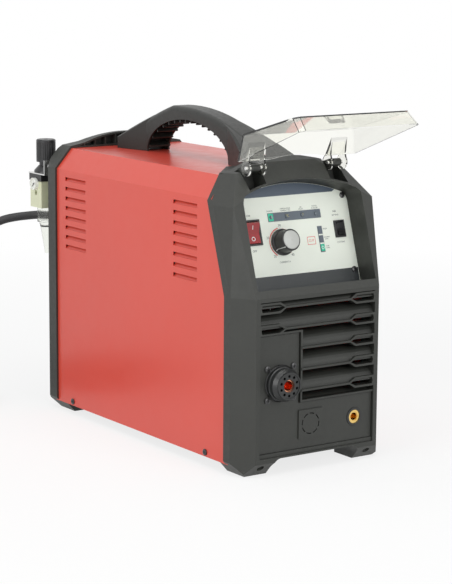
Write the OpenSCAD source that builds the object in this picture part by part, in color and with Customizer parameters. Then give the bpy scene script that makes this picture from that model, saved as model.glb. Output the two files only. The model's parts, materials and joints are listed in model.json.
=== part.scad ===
// Plasma cutter unit: a portable inverter power source with a built-in air compressor.
// Two plastic bezels close a folded cover. The front one holds a slanted control recess under
// a hinged clear lid, a louvred air inlet and the torch and work lead sockets.
// Y is counted from the front bezel's face towards the rear; place() then puts the origin on
// the floor under the middle of the whole unit. Sizes are in millimetres.

/* [Case] */
// Overall width over the plastic bezels
body_w = 220; // [205:1:245]
// Length from the front bezel's face to the rear bezel's face
body_l = 460; // [440:1:520]
// Height of the bezels' flat shoulders above the floor
shoulder_h = 353; // [347:1:375]
// Height of the bevel between side wall and shoulder
shoulder_drop = 27.5; // [20:0.5:32]
// Width of the bevel between side wall and shoulder
shoulder_run = 24; // [16:0.5:28]
// Wall of the plastic mouldings
wall = 2.5; // [2:0.1:3.2]
// Clearance between mouldings and the metalwork tucked into them
fit_gap = 0.4; // [0.3:0.05:0.8]
// Steel sheet of the cover and the base
sheet_t = 1.2; // [0.8:0.1:2]
// How far the cover tucks into each bezel
tuck = 5.5; // [3:0.5:8]
// Clear height under the base plate
base_z = 12; // [10:0.5:15]

/* [Front bezel] */
// Depth of the bezel on the side of the case
bezel_d = 38.5; // [36:0.5:46]
// Lean of the bezel's rear edge from the vertical, above the slope's start
rear_lean = 18.4; // [16:0.1:20]
// Height at which the front starts to lean back
slope_z = 214; // [212:1:222]
// Lean of the upper front from the vertical
slope = 17.1; // [15:0.1:18]
// Width of the bevelled front corners
facet_x = 19.6; // [14:0.1:21]
// Depth of the bevelled front corners
facet_y = 25; // [18:0.5:28]
// Height of the crest above the shoulders
crest_rise = 17; // [14:0.5:20]
// Radius of the crest's arch
crest_r = 190; // [160:1:230]
// Fall of the crest from its front edge to the handle
crest_fall = 4; // [2:0.5:6]

/* [Control recess] */
// Width of the recess at its mouth
recess_w = 174; // [168:1:178]
// Depth of the recess, square to the sloping front
recess_depth = 30; // [26:0.5:32]
// Distance up the slope of the recess's lower edge
recess_v0 = 9; // [7:0.5:12]
// Distance up the slope of the hood arch's highest point
hood_v = 138; // [133:0.5:140]
// Radius of the hood arch
hood_r = 215; // [190:1:260]
// Radius of the control recess's upper corners
recess_corner = 13; // [10:0.5:16]
// Thickness of the control plate
plate_t = 1.5; // [1:0.1:2]
// Thickness of the ledge that carries the control plate
ledge_t = 3; // [2:0.1:4]

/* [Air inlet grille] */
// Width of the lower front opening
opening_w = 169; // [164:1:172]
// Lower edge of the opening
opening_z0 = 22; // [21:0.5:25]
// Upper edge of the opening
opening_z1 = 209; // [208:0.5:211]
// Number of ridges across the grille
ridge_n = 5; // [4:1:5]
// Height of the top ridge
ridge_z = 201.4; // [200:0.1:202]
// Distance from ridge to ridge
ridge_pitch = 25.8; // [25:0.1:27]
// Thickness of a ridge
ridge_t = 2.5; // [1.8:0.1:3.2]
// Depth of a ridge
ridge_d = 12; // [8:0.5:16]
// Where a ridge forks round its end pocket, from the middle
fork_x = 47; // [42:1:52]
// Overall height of an end pocket
pocket_h = 13; // [11:0.5:16]
// Depth of the curved louvre blades
blade_d = 22; // [18:0.5:24]
// Thickness of a louvre blade
blade_t = 1.8; // [1.4:0.1:2.4]
// Height of the air slot under each ridge
slot_h = 6; // [4:0.5:8]

/* [Connector plate] */
// Thickness of the connector plate
conn_t = 3; // [2:0.1:4]
// How far the plate lies behind the front
conn_y = 3.5; // [2.5:0.1:5]
// Upper edge of the plate's wide part
conn_h = 83; // [79:0.5:86]
// Upper edge of the plate's arm
arm_h = 168; // [160:1:174]
// Right edge of the plate's arm
arm_x = -26; // [-28:0.5:-22]
// Torch socket's centre across the front
torch_x = -53; // [-55:0.5:-52]
// Torch socket's centre above the floor
torch_z = 110; // [109:0.5:116]
// Radius of the torch socket's hole in the plate
torch_hole_r = 22.5; // [21:0.5:24]
// Radius of the torch socket's front
torch_r = 16.5; // [16:0.5:18]
// Reach of the torch socket in front of the plate
torch_reach = 19; // [14:0.5:24]
// Bore of the torch socket's contact
torch_bore_r = 6; // [4.5:0.1:6.4]
// Spacing of the torch socket's screws
torch_bolts = 38; // [36:0.5:41]
// Work lead socket's centre across the front
earth_x = 58.3; // [50:0.1:62]
// Work lead socket's centre above the floor
earth_z = 55.3; // [50:0.1:60]
// Bore of the work lead socket
earth_bore_r = 4.6; // [4:0.1:5]
// Radius of the knock-out
knockout_r = 13; // [10:0.5:15]

/* [Feet] */
// Gap between the feet of a bezel
foot_gap = 129; // [110:1:135]
// Height of the arch between the feet
arch_h = 20; // [18:0.5:21]
// Depth of a foot, front to back
foot_d = 50; // [46:1:60]
// How far a foot's sole is set in from the front and rear
foot_in_y = 15; // [10:0.5:18]
// How far a foot's sole is set in from the side
foot_in_x = 14; // [10:0.5:18]

/* [Handle] */
// Radius of the handle's outer arc
handle_r = 350; // [335:1:360]
// Height of the handle above the floor
handle_h = 414; // [408:1:425]
// Width of the grip
grip_w = 35; // [30:0.5:40]
// Depth of the grip's side walls
grip_d = 16; // [13:0.5:20]
// Reach of the grip's finger ribs below its walls
rib_d = 4; // [2:0.5:6]

/* [Clear lid] */
// Width of the lid's plate
lid_w = 165; // [160:0.5:168]
// Length of the lid's plate
lid_l = 108.6; // [104:0.1:112]
// Depth of the lid at its free edge
rim_h = 18.9; // [16:0.1:20]
// Depth of the lid at its hinges
heel_h = 29; // [27:0.1:32]
// Plastic of the lid
lid_t = 2.2; // [1.8:0.1:2.6]
// Height of the lid's pivot
pivot_z = 360.3; // [358:0.1:361]
// Pivot's distance behind the front
pivot_y = 51.5; // [50:0.1:54]
// Radius of the lid's pins
pin_r = 2; // [1.5:0.1:2.2]
// Distance of each hinge slot from the middle
hinge_x = 59.8; // [58:0.1:61]
// Width of a hinge slot
slot_w = 25.6; // [25:0.1:28]
// Width of a lid leg
leg_w = 24; // [20:0.5:26]

/* [Controls] */
// Width of the power switch's frame
power_w = 25.5; // [24:0.5:28]
// Height of the power switch's frame
power_h = 31; // [29:0.5:33]
// Width of the mode switch's frame
mode_w = 15; // [14:0.5:17]
// Height of the mode switch's frame
mode_h = 21; // [20:0.5:23]
// Radius of the current knob's skirt
knob_r = 16; // [14:0.5:18]
// Height of the current knob
knob_h = 20; // [17:0.5:23]
// Radius of the control shaft
shaft_r = 3; // [2.5:0.1:3.5]

/* [Ventilation] */
// Slots in each column of the cover's louvres
vent_n = 8; // [5:1:8]
// Distance from slot to slot
vent_pitch = 12.7; // [11:0.1:13]
// Length of a slot
vent_l = 52; // [40:1:60]
// Height of a slot
vent_h = 5; // [3.5:0.1:6]
// Side of the square fan
fan_w = 120; // [110:1:125]
// Depth of the fan
fan_d = 25; // [20:1:30]

/* [Regulator] */
// Radius of the regulator's knob
reg_knob_r = 13; // [11:0.5:15]
// Width of the regulator's body
reg_w = 32; // [28:0.5:33]
// Distance of the regulator's axis behind the rear bezel
reg_reach = 27; // [26:0.5:32]
// Radius of the pressure gauge
gauge_r = 8; // [7:0.5:9]

/* [Mains lead] */
// Diameter of the mains lead
cord_d = 11.4; // [10:0.1:11.6]

/* [Hidden] */

plastic = "#3b3d3d";
black = "#1d1e1f";
red = "#c9352c";
steel = "#b9bdc0";
dark_steel = "#55585a";
clear = [0.86, 0.9, 0.9, 0.35];
white = "#e9ebe6";
brass = "#c9a24a";
copper = "#b9673f";

big = 700;  // longer than the whole unit
front_y = -213;  // the front face in the part's own frame
half_w = body_w / 2;
run_gap = 0.05;  // radial clearance of a shaft that turns
seat_gap = 0.3;  // clearance beside a seated piece
cover_step = wall + fit_gap;  // the cover lies this far inside the bezels' outline
cover_top = shoulder_h - cover_step;
bevel_a = atan2(shoulder_run, shoulder_drop);
slope_n = [0, -cos(slope), sin(slope)];
pivot_at = [0, pivot_y, pivot_z - slope_z];
pivot_vw = [pivot_at * [0, sin(slope), cos(slope)], pivot_at * slope_n];
crest_h = shoulder_h + crest_rise;
crest_half = hinge_x - slot_w / 2 - 0.6;
crest_y = 70;  // where the crest is highest
lip_z = shoulder_h - shoulder_drop - 7;
lip_in = 7.8;  // the lip, where the facet ends, lies this far inside the side
brow_z = 329.4;  // the hood leans back more above this height
brow_lean = 34.2;
foot_rise = 16;  // height of a foot's sloping sides
arch_corner_r = 12;

// Distance for a vertex of the section's outline moved in by t
function side_top(t) = shoulder_h - shoulder_drop - t * tan(bevel_a / 2);
function shoulder_x(t) = half_w - shoulder_run - t * tan((90 - bevel_a) / 2);
function slope_y(z) = (z - slope_z) * tan(slope);
function bezel_rear(z) = bezel_d + max(0, z - slope_z) * tan(rear_lean);
function flip(points) = [for (i = [len(points) - 1:-1:0]) [-points[i][0], points[i][1]]];
function both(points) = concat(points, flip(points));
function unit(v) = v / norm(v);

// -- placing

module place() translate([0, front_y, 0]) children();

// X stays, Y runs up the sloping front and Z stands square out of it
module on_slope() translate([0, 0, slope_z]) rotate([90 - slope, 0, 0]) children();

// X stays, Y becomes height and Z runs towards the front, from the plane y
module facing_front(y) translate([0, y, 0]) rotate([90, 0, 0]) children();

module both_sides() {
    children();
    mirror([1, 0, 0]) children();
}

// A profile drawn in (y, z), drawn out over the width w about x
module across(x, w) translate([x - w / 2, 0, 0]) rotate([90, 0, 90]) linear_extrude(w) children();

// All that lies beyond the plane through p with the outward normal n
module beyond(p, n) {
    translate(p)
        rotate([0, acos(n[2] / norm(n)), atan2(n[1], n[0])])
            translate([-big, -big, 0])
                cube([2 * big, 2 * big, big]);
}

// -- small hardware

// A pan-head screw standing along Z, its head on z = 0
module pan_screw(r, head_r, head_h, length) {
    difference() {
        union() {
            intersection() {
                cylinder(r = head_r, h = head_h);
                translate([0, 0, head_h - 2.2 * head_r]) sphere(r = 2.2 * head_r, $fn = 48);
            }
            translate([0, 0, -length]) cylinder(r = r, h = length + 0.1);
        }
        for (a = [0, 90]) rotate([0, 0, a])
            translate([-head_r * 0.5, -head_r * 0.11, head_h * 0.45])
                cube([head_r, head_r * 0.22, head_h]);
    }
}

// -- case outline

function section(t) = both(concat(
    [[half_w - t, 0], [half_w - t, side_top(t)], [shoulder_x(t), shoulder_h - t]]));

function crest_points(t, half, rise) = let (n = 6, r = crest_r)
    [for (i = [n:-1:1]) let (x = half * i / n)
        [x, shoulder_h + rise - r + sqrt(r * r - x * x) - t]];

function front_outline(t) = both(concat(
    [[half_w - t, 0], [half_w - t, side_top(t)], [shoulder_x(t), shoulder_h - t],
     [hinge_x + slot_w / 2 + 1, shoulder_h + 1 - t]],
    crest_points(t, crest_half, crest_rise)));

rear_crest_rise = 16;  // the rear crest stands this far above the shoulders
rear_crest_half = 64;
rear_crest_sag = 12;

function rear_crest_r() = (pow(rear_crest_half, 2) + pow(rear_crest_sag, 2)) / (2 * rear_crest_sag);
function rear_outline(t) = let (n = 7, r = rear_crest_r())
    both(concat(
        [[half_w - t, 0], [half_w - t, side_top(t)], [shoulder_x(t), shoulder_h - t]],
        [for (i = [n:-1:1]) let (x = rear_crest_half * i / n)
            [x, shoulder_h + rear_crest_rise - r + sqrt(r * r - x * x) - t]]));

// -- front bezel

// The leaning block that the front bezel is carved from, moved in by t
module front_form(t) {
    corner = [half_w, facet_y, slope_z];
    facet_n = unit([facet_y, -facet_x, 0]);
    lip = [half_w - lip_in, slope_y(lip_z), lip_z];
    lip_n = unit(cross(lip - corner, [-facet_x, -facet_y, 0]));
    flank_n = unit(cross([half_w, 2 * facet_y + 12, lip_z] - corner, lip - corner));
    brow_n = [0, -cos(brow_lean), sin(brow_lean)];
    crest = [0, crest_y, crest_h];
    depth = 150;
    lip_flat = 0.4;
    difference() {
        facing_front(depth) linear_extrude(depth - t) polygon(front_outline(t));
        beyond([0, 0, slope_z] - t * slope_n, slope_n);
        both_sides() {
            beyond(corner - t * facet_n, facet_n);
            beyond(corner - t * lip_n, lip_n);
            beyond(corner - t * flank_n, flank_n);
            // the hood's outer parts start inside the lip
            for (n = [[0.232, -0.662, 0.713], [0.727, -0.208, 0.652]])
                beyond(lip - (t + lip_flat) * unit(n), n);
        }
        beyond([0, slope_y(brow_z), brow_z] - t * brow_n, brow_n);
        for (n = [[0, -5, 10.5], [0, crest_fall, 20]]) beyond(crest - t * unit(n), n);
    }
}

// All that lies behind the bezel's rear edge
module behind_bezel(shift) {
    top = crest_h + 60;
    across(0, 2 * big) polygon([
        [bezel_d + shift, -50], [bezel_d + shift, slope_z], [bezel_rear(top) + shift, top],
        [big, top], [big, -50]]);
}

// Outline of the control recess on the slope, grown by g
module recess_outline(g) {
    x = recess_w / 2 - recess_corner;
    r = hood_r - recess_corner;
    v = hood_v - hood_r + sqrt(r * r - x * x);
    intersection() {
        union() {
            translate([-recess_w / 2 - g, recess_v0 - g]) square([recess_w + 2 * g, v - recess_v0 + g]);
            for (s = [-1, 1]) translate([s * x, v]) circle(r = recess_corner + g, $fn = 64);
            translate([1 - x * (hood_r + g) / r, v]) square([2 * x * (hood_r + g) / r - 2, 100]);
        }
        translate([0, hood_v - hood_r]) circle(r = hood_r + g, $fn = 180);
    }
}

// The arch between two feet
module arch_shape() {
    g = foot_gap / 2;
    r = arch_corner_r;
    translate([-g + r, -1]) square([2 * (g - r), arch_h + 1]);
    translate([-g, -1]) square([2 * g, arch_h - r + 1]);
    for (s = [-1, 1]) translate([s * (g - r), arch_h - r]) circle(r = r, $fn = 48);
}

// Cuts a foot's sloping outer side and the sloping face under the front
module foot_slopes() {
    both_sides() beyond([half_w, 0, foot_rise], [foot_rise, 0, -foot_in_x]);
    beyond([0, 0, foot_rise], [0, -foot_rise, -foot_in_y]);
}

foot_screw_x = 79;
foot_screw_r = 2;
foot_head_r = 4.2;
foot_recess = 5;  // depth of the screw's recess in the sloping face

// The frame of a foot screw: Z stands square out of the foot's sloping face
module on_foot(x) {
    mid = 0.62 * foot_rise;
    translate([x, foot_in_y * (1 - mid / foot_rise), mid])
        rotate([90 + atan2(foot_in_y, foot_rise), 0, 0]) children();
}

module foot_screw_holes() {
    for (s = [-1, 1]) on_foot(s * foot_screw_x) {
        translate([0, 0, -foot_recess]) cylinder(r = foot_head_r + 0.4, h = 20, $fn = 48);
        translate([0, 0, -foot_recess - 12]) cylinder(r = foot_screw_r, h = 14, $fn = 32);
    }
}

hinge_floor = recess_depth - 0.5;  // depth of a hinge slot below the slope
lug_w = 13;  // the lug between a leg's two ribs
lug_r = 4.6;

// The pin's centre line
module on_pivot(x) translate([x, pivot_y, pivot_z]) rotate([0, 90, 0]) children();

module hinge_block() on_slope() translate([hinge_x - slot_w / 2 - wall, hood_v - 20, -hinge_floor - wall])
    cube([slot_w + 2 * wall, 100, 100]);

module hinge_slot() on_slope() difference() {
    translate([hinge_x - slot_w / 2, hood_v - 20, -hinge_floor]) cube([slot_w, 110, 150]);
    translate([0, 0, -100]) linear_extrude(200) recess_outline(wall);
}

// Holds the pin in the middle of its slot
module hinge_lug() translate([hinge_x - lug_w / 2, pivot_y, pivot_z]) rotate([-slope, 0, 0])
    rotate([90, 0, 90]) linear_extrude(lug_w) difference() {
        union() {
            circle(r = lug_r, $fn = 48);
            translate([0, -lug_r]) square([hinge_floor + pivot_vw[1] + 1, 2 * lug_r]);
        }
        circle(r = pin_r, $fn = 40);
    }

opening_half = opening_w / 2;
box_d = blade_d + 4;  // depth of the grille's side walls

// One louvre blade: a quarter ellipse from the ridge below that turns back
module blade_section(z0, h) {
    y0 = 3;
    d = blade_d - y0;
    steps = 8;
    polygon(concat(
        [for (i = [0:steps]) let (a = 90 * i / steps) [y0 + d - d * cos(a), z0 + h * sin(a)]],
        [for (i = [steps:-1:0]) let (a = 90 * i / steps)
            [y0 + d - (d - blade_t) * cos(a), z0 + (h - blade_t) * sin(a)]]));
}

module pocket_ring(z) {
    slant = 10;
    h = pocket_h / 2;
    end = opening_half + 1;
    inset = ridge_t / cos(atan2(h, slant)) * 1.1;
    facing_front(ridge_d) linear_extrude(ridge_d) difference() {
        polygon([[fork_x - 1, z], [fork_x - 1 + slant, z + h], [end, z + h],
                 [end, z - h], [fork_x - 1 + slant, z - h]]);
        polygon([[fork_x - 1 + inset, z], [fork_x + slant, z + h - ridge_t],
                 [opening_half - ridge_t, z + h - ridge_t], [opening_half - ridge_t / 2, z],
                 [opening_half - ridge_t, z - h + ridge_t], [fork_x + slant, z - h + ridge_t]]);
    }
}

// Ridges, their forked ends and the blades behind them
module grille() {
    for (k = [0:ridge_n - 1]) {
        z = ridge_z - k * ridge_pitch;
        translate([-fork_x - 2, 0, z - ridge_t / 2]) cube([2 * fork_x + 4, ridge_d, ridge_t]);
        both_sides() pocket_ring(z);
        z0 = z - ridge_pitch + ridge_t / 2 - 0.2;
        across(0, opening_w + 1) blade_section(z0, ridge_pitch - ridge_t - slot_h);
    }
    across(0, opening_w + 1) blade_section(ridge_z, opening_z1 - ridge_z + 1);
}

sill_z = opening_z0 + 5;  // the connector plate stands on this sill
rail_w = 4.5;

// The place of the connector plate, grown by g, as seen from the front
module conn_outline(g) {
    translate([-opening_half + 1.5 - g, sill_z + seat_gap - g])
        square([opening_w - 2 + 2 * g, conn_h - sill_z - seat_gap + 2 * g]);
    translate([-opening_half + 1.5 - g, sill_z + seat_gap - g])
        square([arm_x + opening_half - 1.5 + 2 * g, arm_h - sill_z - seat_gap + 2 * g]);
}

module grille_box() {
    difference() {
        translate([-opening_half - wall, 0, arch_h])
            cube([opening_w + 2 * wall, box_d, opening_z1 + wall - arch_h]);
        translate([-opening_half, -1, opening_z0])
            cube([opening_w, box_d + 2, opening_z1 - opening_z0]);
    }
    difference() {
        grille();
        translate([-opening_half - 1, -1, 0])
            cube([opening_half + 1 + arm_x + 2, box_d + 2, arm_h + 2]);
        translate([-opening_half - 1, -1, 0]) cube([opening_w + 2, box_d + 2, conn_h + 2]);
    }
    // lintels over the connector plate, its sill and the rails behind its edges
    translate([-opening_half - 1, 1, arm_h + 1]) cube([opening_half + 3 + arm_x, box_d - 1, ridge_t]);
    translate([arm_x + 1, 1, conn_h + 1]) cube([opening_half - arm_x, box_d - 1, ridge_t]);
    translate([arm_x + 1, 1, conn_h + 1]) cube([ridge_t, box_d - 1, arm_h - conn_h + ridge_t]);
    translate([-opening_half - 1, 2, arch_h]) cube([opening_w + 2, box_d - 2, sill_z - arch_h]);
    rail_y = conn_y + conn_t;
    translate([-opening_half - 1, rail_y, arch_h]) cube([rail_w + 1, box_d - rail_y, arm_h - arch_h]);
    translate([opening_half - rail_w, rail_y, arch_h])
        cube([rail_w + 1, box_d - rail_y, conn_h - arch_h]);
}

window_half = recess_w / 2 - 11;  // half the width of the window behind the control plate
window_v0 = recess_v0 + 7;
window_v1 = hood_v - 24;
tongue_rear = 133;  // rear end of the bezel's tongue on the cover
tongue_half = 43;

module bezel_block() difference() {
    union() {
        difference() {
            front_form(0);
            intersection() {
                front_form(wall);
                translate([-big, -big, arch_h + wall]) cube(2 * big);
            }
            behind_bezel(0);
            translate([-opening_half, -1, opening_z0])
                cube([opening_w, wall + 2, opening_z1 - opening_z0]);
        }
        intersection() {
            union() {
                on_slope() translate([0, 0, -recess_depth - plate_t - ledge_t])
                    linear_extrude(100) recess_outline(wall);
                both_sides() hinge_block();
            }
            front_form(0);
        }
        intersection() {
            grille_box();
            front_form(0);
        }
        both_sides() translate([foot_gap / 2, bezel_d - tuck - 4, 0])
            cube([half_w - foot_gap / 2, foot_d - bezel_d + tuck + 4, base_z]);
        // the tongue that runs back over the cover to the handle's foot
        translate([0, 0, cover_top + seat_gap]) linear_extrude(wall + fit_gap - seat_gap)
            polygon(both([[shoulder_x(0), bezel_rear(shoulder_h) - 4],
                          [shoulder_x(0) - 1, bezel_rear(shoulder_h)],
                          [tongue_half, tongue_rear]]) );
    }
    on_slope() {
        translate([0, 0, -recess_depth - plate_t]) linear_extrude(200) recess_outline(0);
        translate([-window_half, window_v0, -80]) cube([2 * window_half, window_v1 - window_v0, 100]);
        for (s = [-1, 1], v = panel_screw_v)
            translate([s * panel_screw_x, v, -recess_depth - 12]) cylinder(r = panel_screw_r, h = 20);
    }
    both_sides() hinge_slot();
    facing_front(bezel_d + 30) linear_extrude(bezel_d + 40) arch_shape();
    intersection() {
        behind_bezel(-tuck - fit_gap);
        facing_front(160) linear_extrude(150) intersection() {
            polygon(section(wall + 0.15));
            translate([-big, base_z]) square(2 * big);
        }
    }
    foot_slopes();
    foot_screw_holes();
}

module front_bezel() place() color(plastic) {
    bezel_block();
    both_sides() hinge_lug();
}

// -- cover, base and rear

cover_y0 = bezel_d - tuck;  // front edge of the cover, low down
rear_bezel_d = 27;
cover_y1 = body_l - rear_bezel_d + tuck;
vent_z = 224;  // middle of the lowest slot
vent_front_y = 100;  // front end of the front column
vent_rear_y = 359.6;  // front end of the rear column
cover_screw_z = 17.5;
cover_screw_r = 2;
cover_screw_in = 42;  // distance of a side screw from the bezel

// A louvre vane pressed into the cover below its slot, as seen along Y
module vent_vane(z) {
    x = half_w - cover_step - sheet_t;
    rotate([90, 0, 0]) linear_extrude(vent_l)
        polygon([[x + 0.1, z - vent_h / 2 - 1], [x + 0.1, z - vent_h / 2 + 0.3],
                 [x - 3.2, z + vent_h / 2], [x - 3.2 - sheet_t, z + vent_h / 2 - 0.4]]);
}

module case_cover() place() color(red) {
    difference() {
        facing_front(cover_y1) linear_extrude(cover_y1 - cover_y0) difference() {
            intersection() {
                polygon(section(cover_step));
                translate([-big, base_z]) square(2 * big);
            }
            polygon(section(cover_step + sheet_t));
        }
        // the front edge follows the lean of the bezel
        across(0, 2 * big) polygon([
            [cover_y0 - 1, slope_z], [cover_y0, slope_z], [bezel_rear(big) - tuck, big],
            [cover_y0 - 1, big]]);
        both_sides() {
            for (y = [vent_front_y, vent_rear_y], k = [0:vent_n - 1])
                translate([half_w - 12, y, vent_z + k * vent_pitch - vent_h / 2])
                    cube([20, vent_l, vent_h]);
            for (y = cover_screw_y) translate([half_w - 12, y, cover_screw_z]) rotate([0, 90, 0])
                cylinder(r = cover_screw_r, h = 20, $fn = 32);
        }
    }
    both_sides() for (y = [vent_front_y, vent_rear_y], k = [0:vent_n - 1])
        translate([0, y + vent_l, 0]) vent_vane(vent_z + k * vent_pitch);
}

cover_screw_y = [bezel_d + cover_screw_in, body_l - rear_bezel_d - cover_screw_in + 4];
base_half = half_w - cover_step - sheet_t - 0.2;
flange_h = 14;
base_y0 = cover_y0 + 0.5;
base_y1 = cover_y1 - 0.5;

module base_plate() place() color(dark_steel) difference() {
    translate([-base_half, base_y0, base_z]) cube([2 * base_half, base_y1 - base_y0, flange_h]);
    translate([-base_half + sheet_t, base_y0 - 1, base_z + sheet_t])
        cube([2 * (base_half - sheet_t), base_y1 - base_y0 + 2, flange_h]);
    for (s = [-1, 1], y = cover_screw_y) translate([s * base_half, y, cover_screw_z])
        rotate([0, 90, 0]) cylinder(r = cover_screw_r, h = 12, center = true, $fn = 32);
}

// Side screws that hold the cover to the base's flanges
module case_screws() place() color(black)
    both_sides() for (y = cover_screw_y)
        translate([half_w - cover_step, y, cover_screw_z]) rotate([0, 90, 0])
            pan_screw(cover_screw_r, 4, 2.2, 7);

module foot_screws() place() color(steel) {
    for (s = [-1, 1]) on_foot(s * foot_screw_x) translate([0, 0, -foot_recess])
        pan_screw(foot_screw_r, foot_head_r, 2.6, 11.5);
    translate([0, body_l, 0]) mirror([0, 1, 0])
        for (s = [-1, 1]) on_foot(s * foot_screw_x) translate([0, 0, -foot_recess])
            pan_screw(foot_screw_r, foot_head_r, 2.6, 11.5);
}

rear_facet = 8;  // bevel of the rear bezel's rear corners
rear_window_half = half_w - 22;
rear_window_z0 = 32;
rear_window_z1 = 330;
hood_rib_pitch = 16;
hood_pocket_d = 10;
reg_x = -93;  // axis of the regulator, seen from the front
reg_y = body_l + reg_reach;
nipple_z = 284;
nipple_r = 5.5;

// The rear bezel's block, moved in by t and drawn out to the front by ahead
module rear_form(t, ahead = 0) {
    facet_n = unit([1, 1, 0]);
    difference() {
        facing_front(body_l - t) linear_extrude(rear_bezel_d - t + ahead) polygon(rear_outline(t));
        both_sides() beyond([half_w, body_l - rear_facet, 0] - t * facet_n, facet_n);
        beyond([0, body_l, shoulder_h - 5], [0, 1, 0.9]);
    }
}

module rear_bezel() place() color(plastic) difference() {
    union() {
        difference() {
            rear_form(0);
            intersection() {
                rear_form(wall, 1);
                translate([-big, -big, arch_h + wall]) cube([2 * big, 2 * big, cover_top - arch_h - wall]);
            }
            // the hood's front face is open between its ribs
            intersection() {
                rear_form(wall, 1);
                translate([-big, body_l - rear_bezel_d - 1, cover_top + wall])
                    cube([2 * big, hood_pocket_d + 1, big]);
            }
        }
        intersection() {
            rear_form(0.5);
            for (k = [-4:4]) translate([k * hood_rib_pitch - 0.8, body_l - rear_bezel_d + 1, cover_top + 1])
                cube([1.6, hood_pocket_d, big]);
        }
        both_sides() translate([foot_gap / 2, body_l - foot_d, 0])
            cube([half_w - foot_gap / 2, foot_d - rear_bezel_d + tuck + 4, base_z]);
    }
    translate([-rear_window_half, body_l - wall - 1, rear_window_z0])
        cube([2 * rear_window_half, 10, rear_window_z1 - rear_window_z0]);
    facing_front(body_l + 20) linear_extrude(100) arch_shape();
    // seat of the cover's rear edge and of the base plate
    translate([0, cover_y1 + fit_gap, 0]) facing_front(0) linear_extrude(60) intersection() {
        polygon(section(wall));
        translate([-big, base_z]) square([2 * big, cover_top + 0.2 - base_z]);
    }
    translate([0, body_l, 0]) mirror([0, 1, 0]) {
        foot_slopes();
        foot_screw_holes();
    }
    translate([reg_x, body_l - 20, nipple_z]) rotate([-90, 0, 0]) cylinder(r = nipple_r + 0.4, h = 40);
}

panel_y = body_l - wall - 2;  // front face of the rear panel
panel_thick = 2;
fan_x = 24;
fan_z = 140;
fan_hole_r = fan_w / 2 - 4;
fan_bolts = fan_w - 15;
gland_x = -64;
gland_z = 252;
gland_r = 9;

module rear_panel() place() color(dark_steel) difference() {
    translate([-rear_window_half - 10, panel_y, rear_window_z0 - 5])
        cube([2 * rear_window_half + 20, panel_thick, rear_window_z1 - rear_window_z0 + 10]);
    translate([fan_x, panel_y - 1, fan_z]) rotate([-90, 0, 0]) {
        cylinder(r = fan_hole_r, h = 10, $fn = 120);
        for (x = [-1, 1], y = [-1, 1]) translate([x * fan_bolts / 2, y * fan_bolts / 2, 0])
            cylinder(r = 2.2, h = 10, $fn = 32);
    }
    translate([gland_x, panel_y - 1, gland_z]) rotate([-90, 0, 0]) cylinder(r = gland_r + 0.2, h = 10);
    translate([reg_x, panel_y - 1, nipple_z]) rotate([-90, 0, 0]) cylinder(r = nipple_r + 0.4, h = 10);
}

fan_hub_r = 20;
fan_wheel_r = fan_w / 2 - 5;
fan_post_r = 2;
blade_n = 7;
fan_y = panel_y - fan_d;  // inner face of the fan

module fan_frame() place() color(black) translate([fan_x, fan_y, fan_z]) rotate([-90, 0, 0]) {
    difference() {
        translate([-fan_w / 2, -fan_w / 2, 0]) cube([fan_w, fan_w, fan_d]);
        translate([0, 0, -1]) cylinder(r = fan_wheel_r + 1.5, h = fan_d + 2, $fn = 120);
        for (x = [-1, 1], y = [-1, 1]) translate([x * fan_bolts / 2, y * fan_bolts / 2, -1])
            cylinder(r = 2.2, h = fan_d + 2, $fn = 32);
        for (a = [0:90:270]) rotate([0, 0, a]) translate([-fan_w / 4, fan_w / 2 - 3, 4])
            cube([fan_w / 2, 10, fan_d - 8]);
    }
    // stator: four struts, a hub and the bearing
    difference() {
        union() {
            cylinder(r = fan_hub_r, h = 3);
            cylinder(r = fan_post_r + 2.5, h = 12);
            for (a = [45:90:315]) rotate([0, 0, a]) translate([fan_hub_r - 2, -2.5, 0])
                cube([fan_wheel_r - fan_hub_r + 4.5, 5, 3]);
        }
        translate([0, 0, -1]) cylinder(r = fan_post_r + run_gap, h = 20, $fn = 48);
    }
}

module fan_rotor() place() color(black) translate([fan_x, fan_y, fan_z]) rotate([-90, 0, 0]) {
    top = fan_d - 2;
    difference() {
        translate([0, 0, 4]) cylinder(r = fan_hub_r, h = top - 4, $fn = 90);
        translate([0, 0, 3]) cylinder(r = fan_hub_r - 1.8, h = top - 5.5, $fn = 90);
    }
    translate([0, 0, 1]) cylinder(r = fan_post_r, h = top - 2, $fn = 48);
    intersection() {
        difference() {
            translate([0, 0, 5]) cylinder(r = fan_wheel_r, h = top - 6, $fn = 120);
            cylinder(r = fan_hub_r - 0.4, h = fan_d);
        }
        for (a = [0:360 / blade_n:359]) rotate([0, 0, a])
            translate([0, 0, (top + 4) / 2]) rotate([34, 0, 0])
                translate([fan_hub_r - 4, -15, -0.9]) cube([fan_wheel_r, 30, 1.8]);
    }
}

wire_r = 1.1;

module fan_guard() place() color(steel)
    translate([fan_x, panel_y + panel_thick, fan_z]) rotate([-90, 0, 0]) {
        for (k = [0:4]) rotate_extrude($fn = 96)
            translate([14 + k * 10.5, 3 * wire_r]) circle(r = wire_r, $fn = 24);
        for (a = [45, 135]) rotate([0, 0, a]) translate([-fan_bolts * 0.7071, 0, wire_r])
            rotate([0, 90, 0]) cylinder(r = wire_r, h = fan_bolts * 1.4142, $fn = 24);
        for (x = [-1, 1], y = [-1, 1]) translate([x * fan_bolts / 2, y * fan_bolts / 2, 0]) difference() {
            cylinder(r = 4.6, h = 2 * wire_r);
            translate([0, 0, -1]) cylinder(r = 2.2, h = 10, $fn = 32);
        }
    }

module guard_screws() place() color(black)
    translate([fan_x, panel_y + panel_thick + 2 * wire_r, fan_z]) rotate([-90, 0, 0])
        for (x = [-1, 1], y = [-1, 1]) translate([x * fan_bolts / 2, y * fan_bolts / 2, 0])
            pan_screw(2, 4, 2.4, 16);

// -- handle

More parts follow.
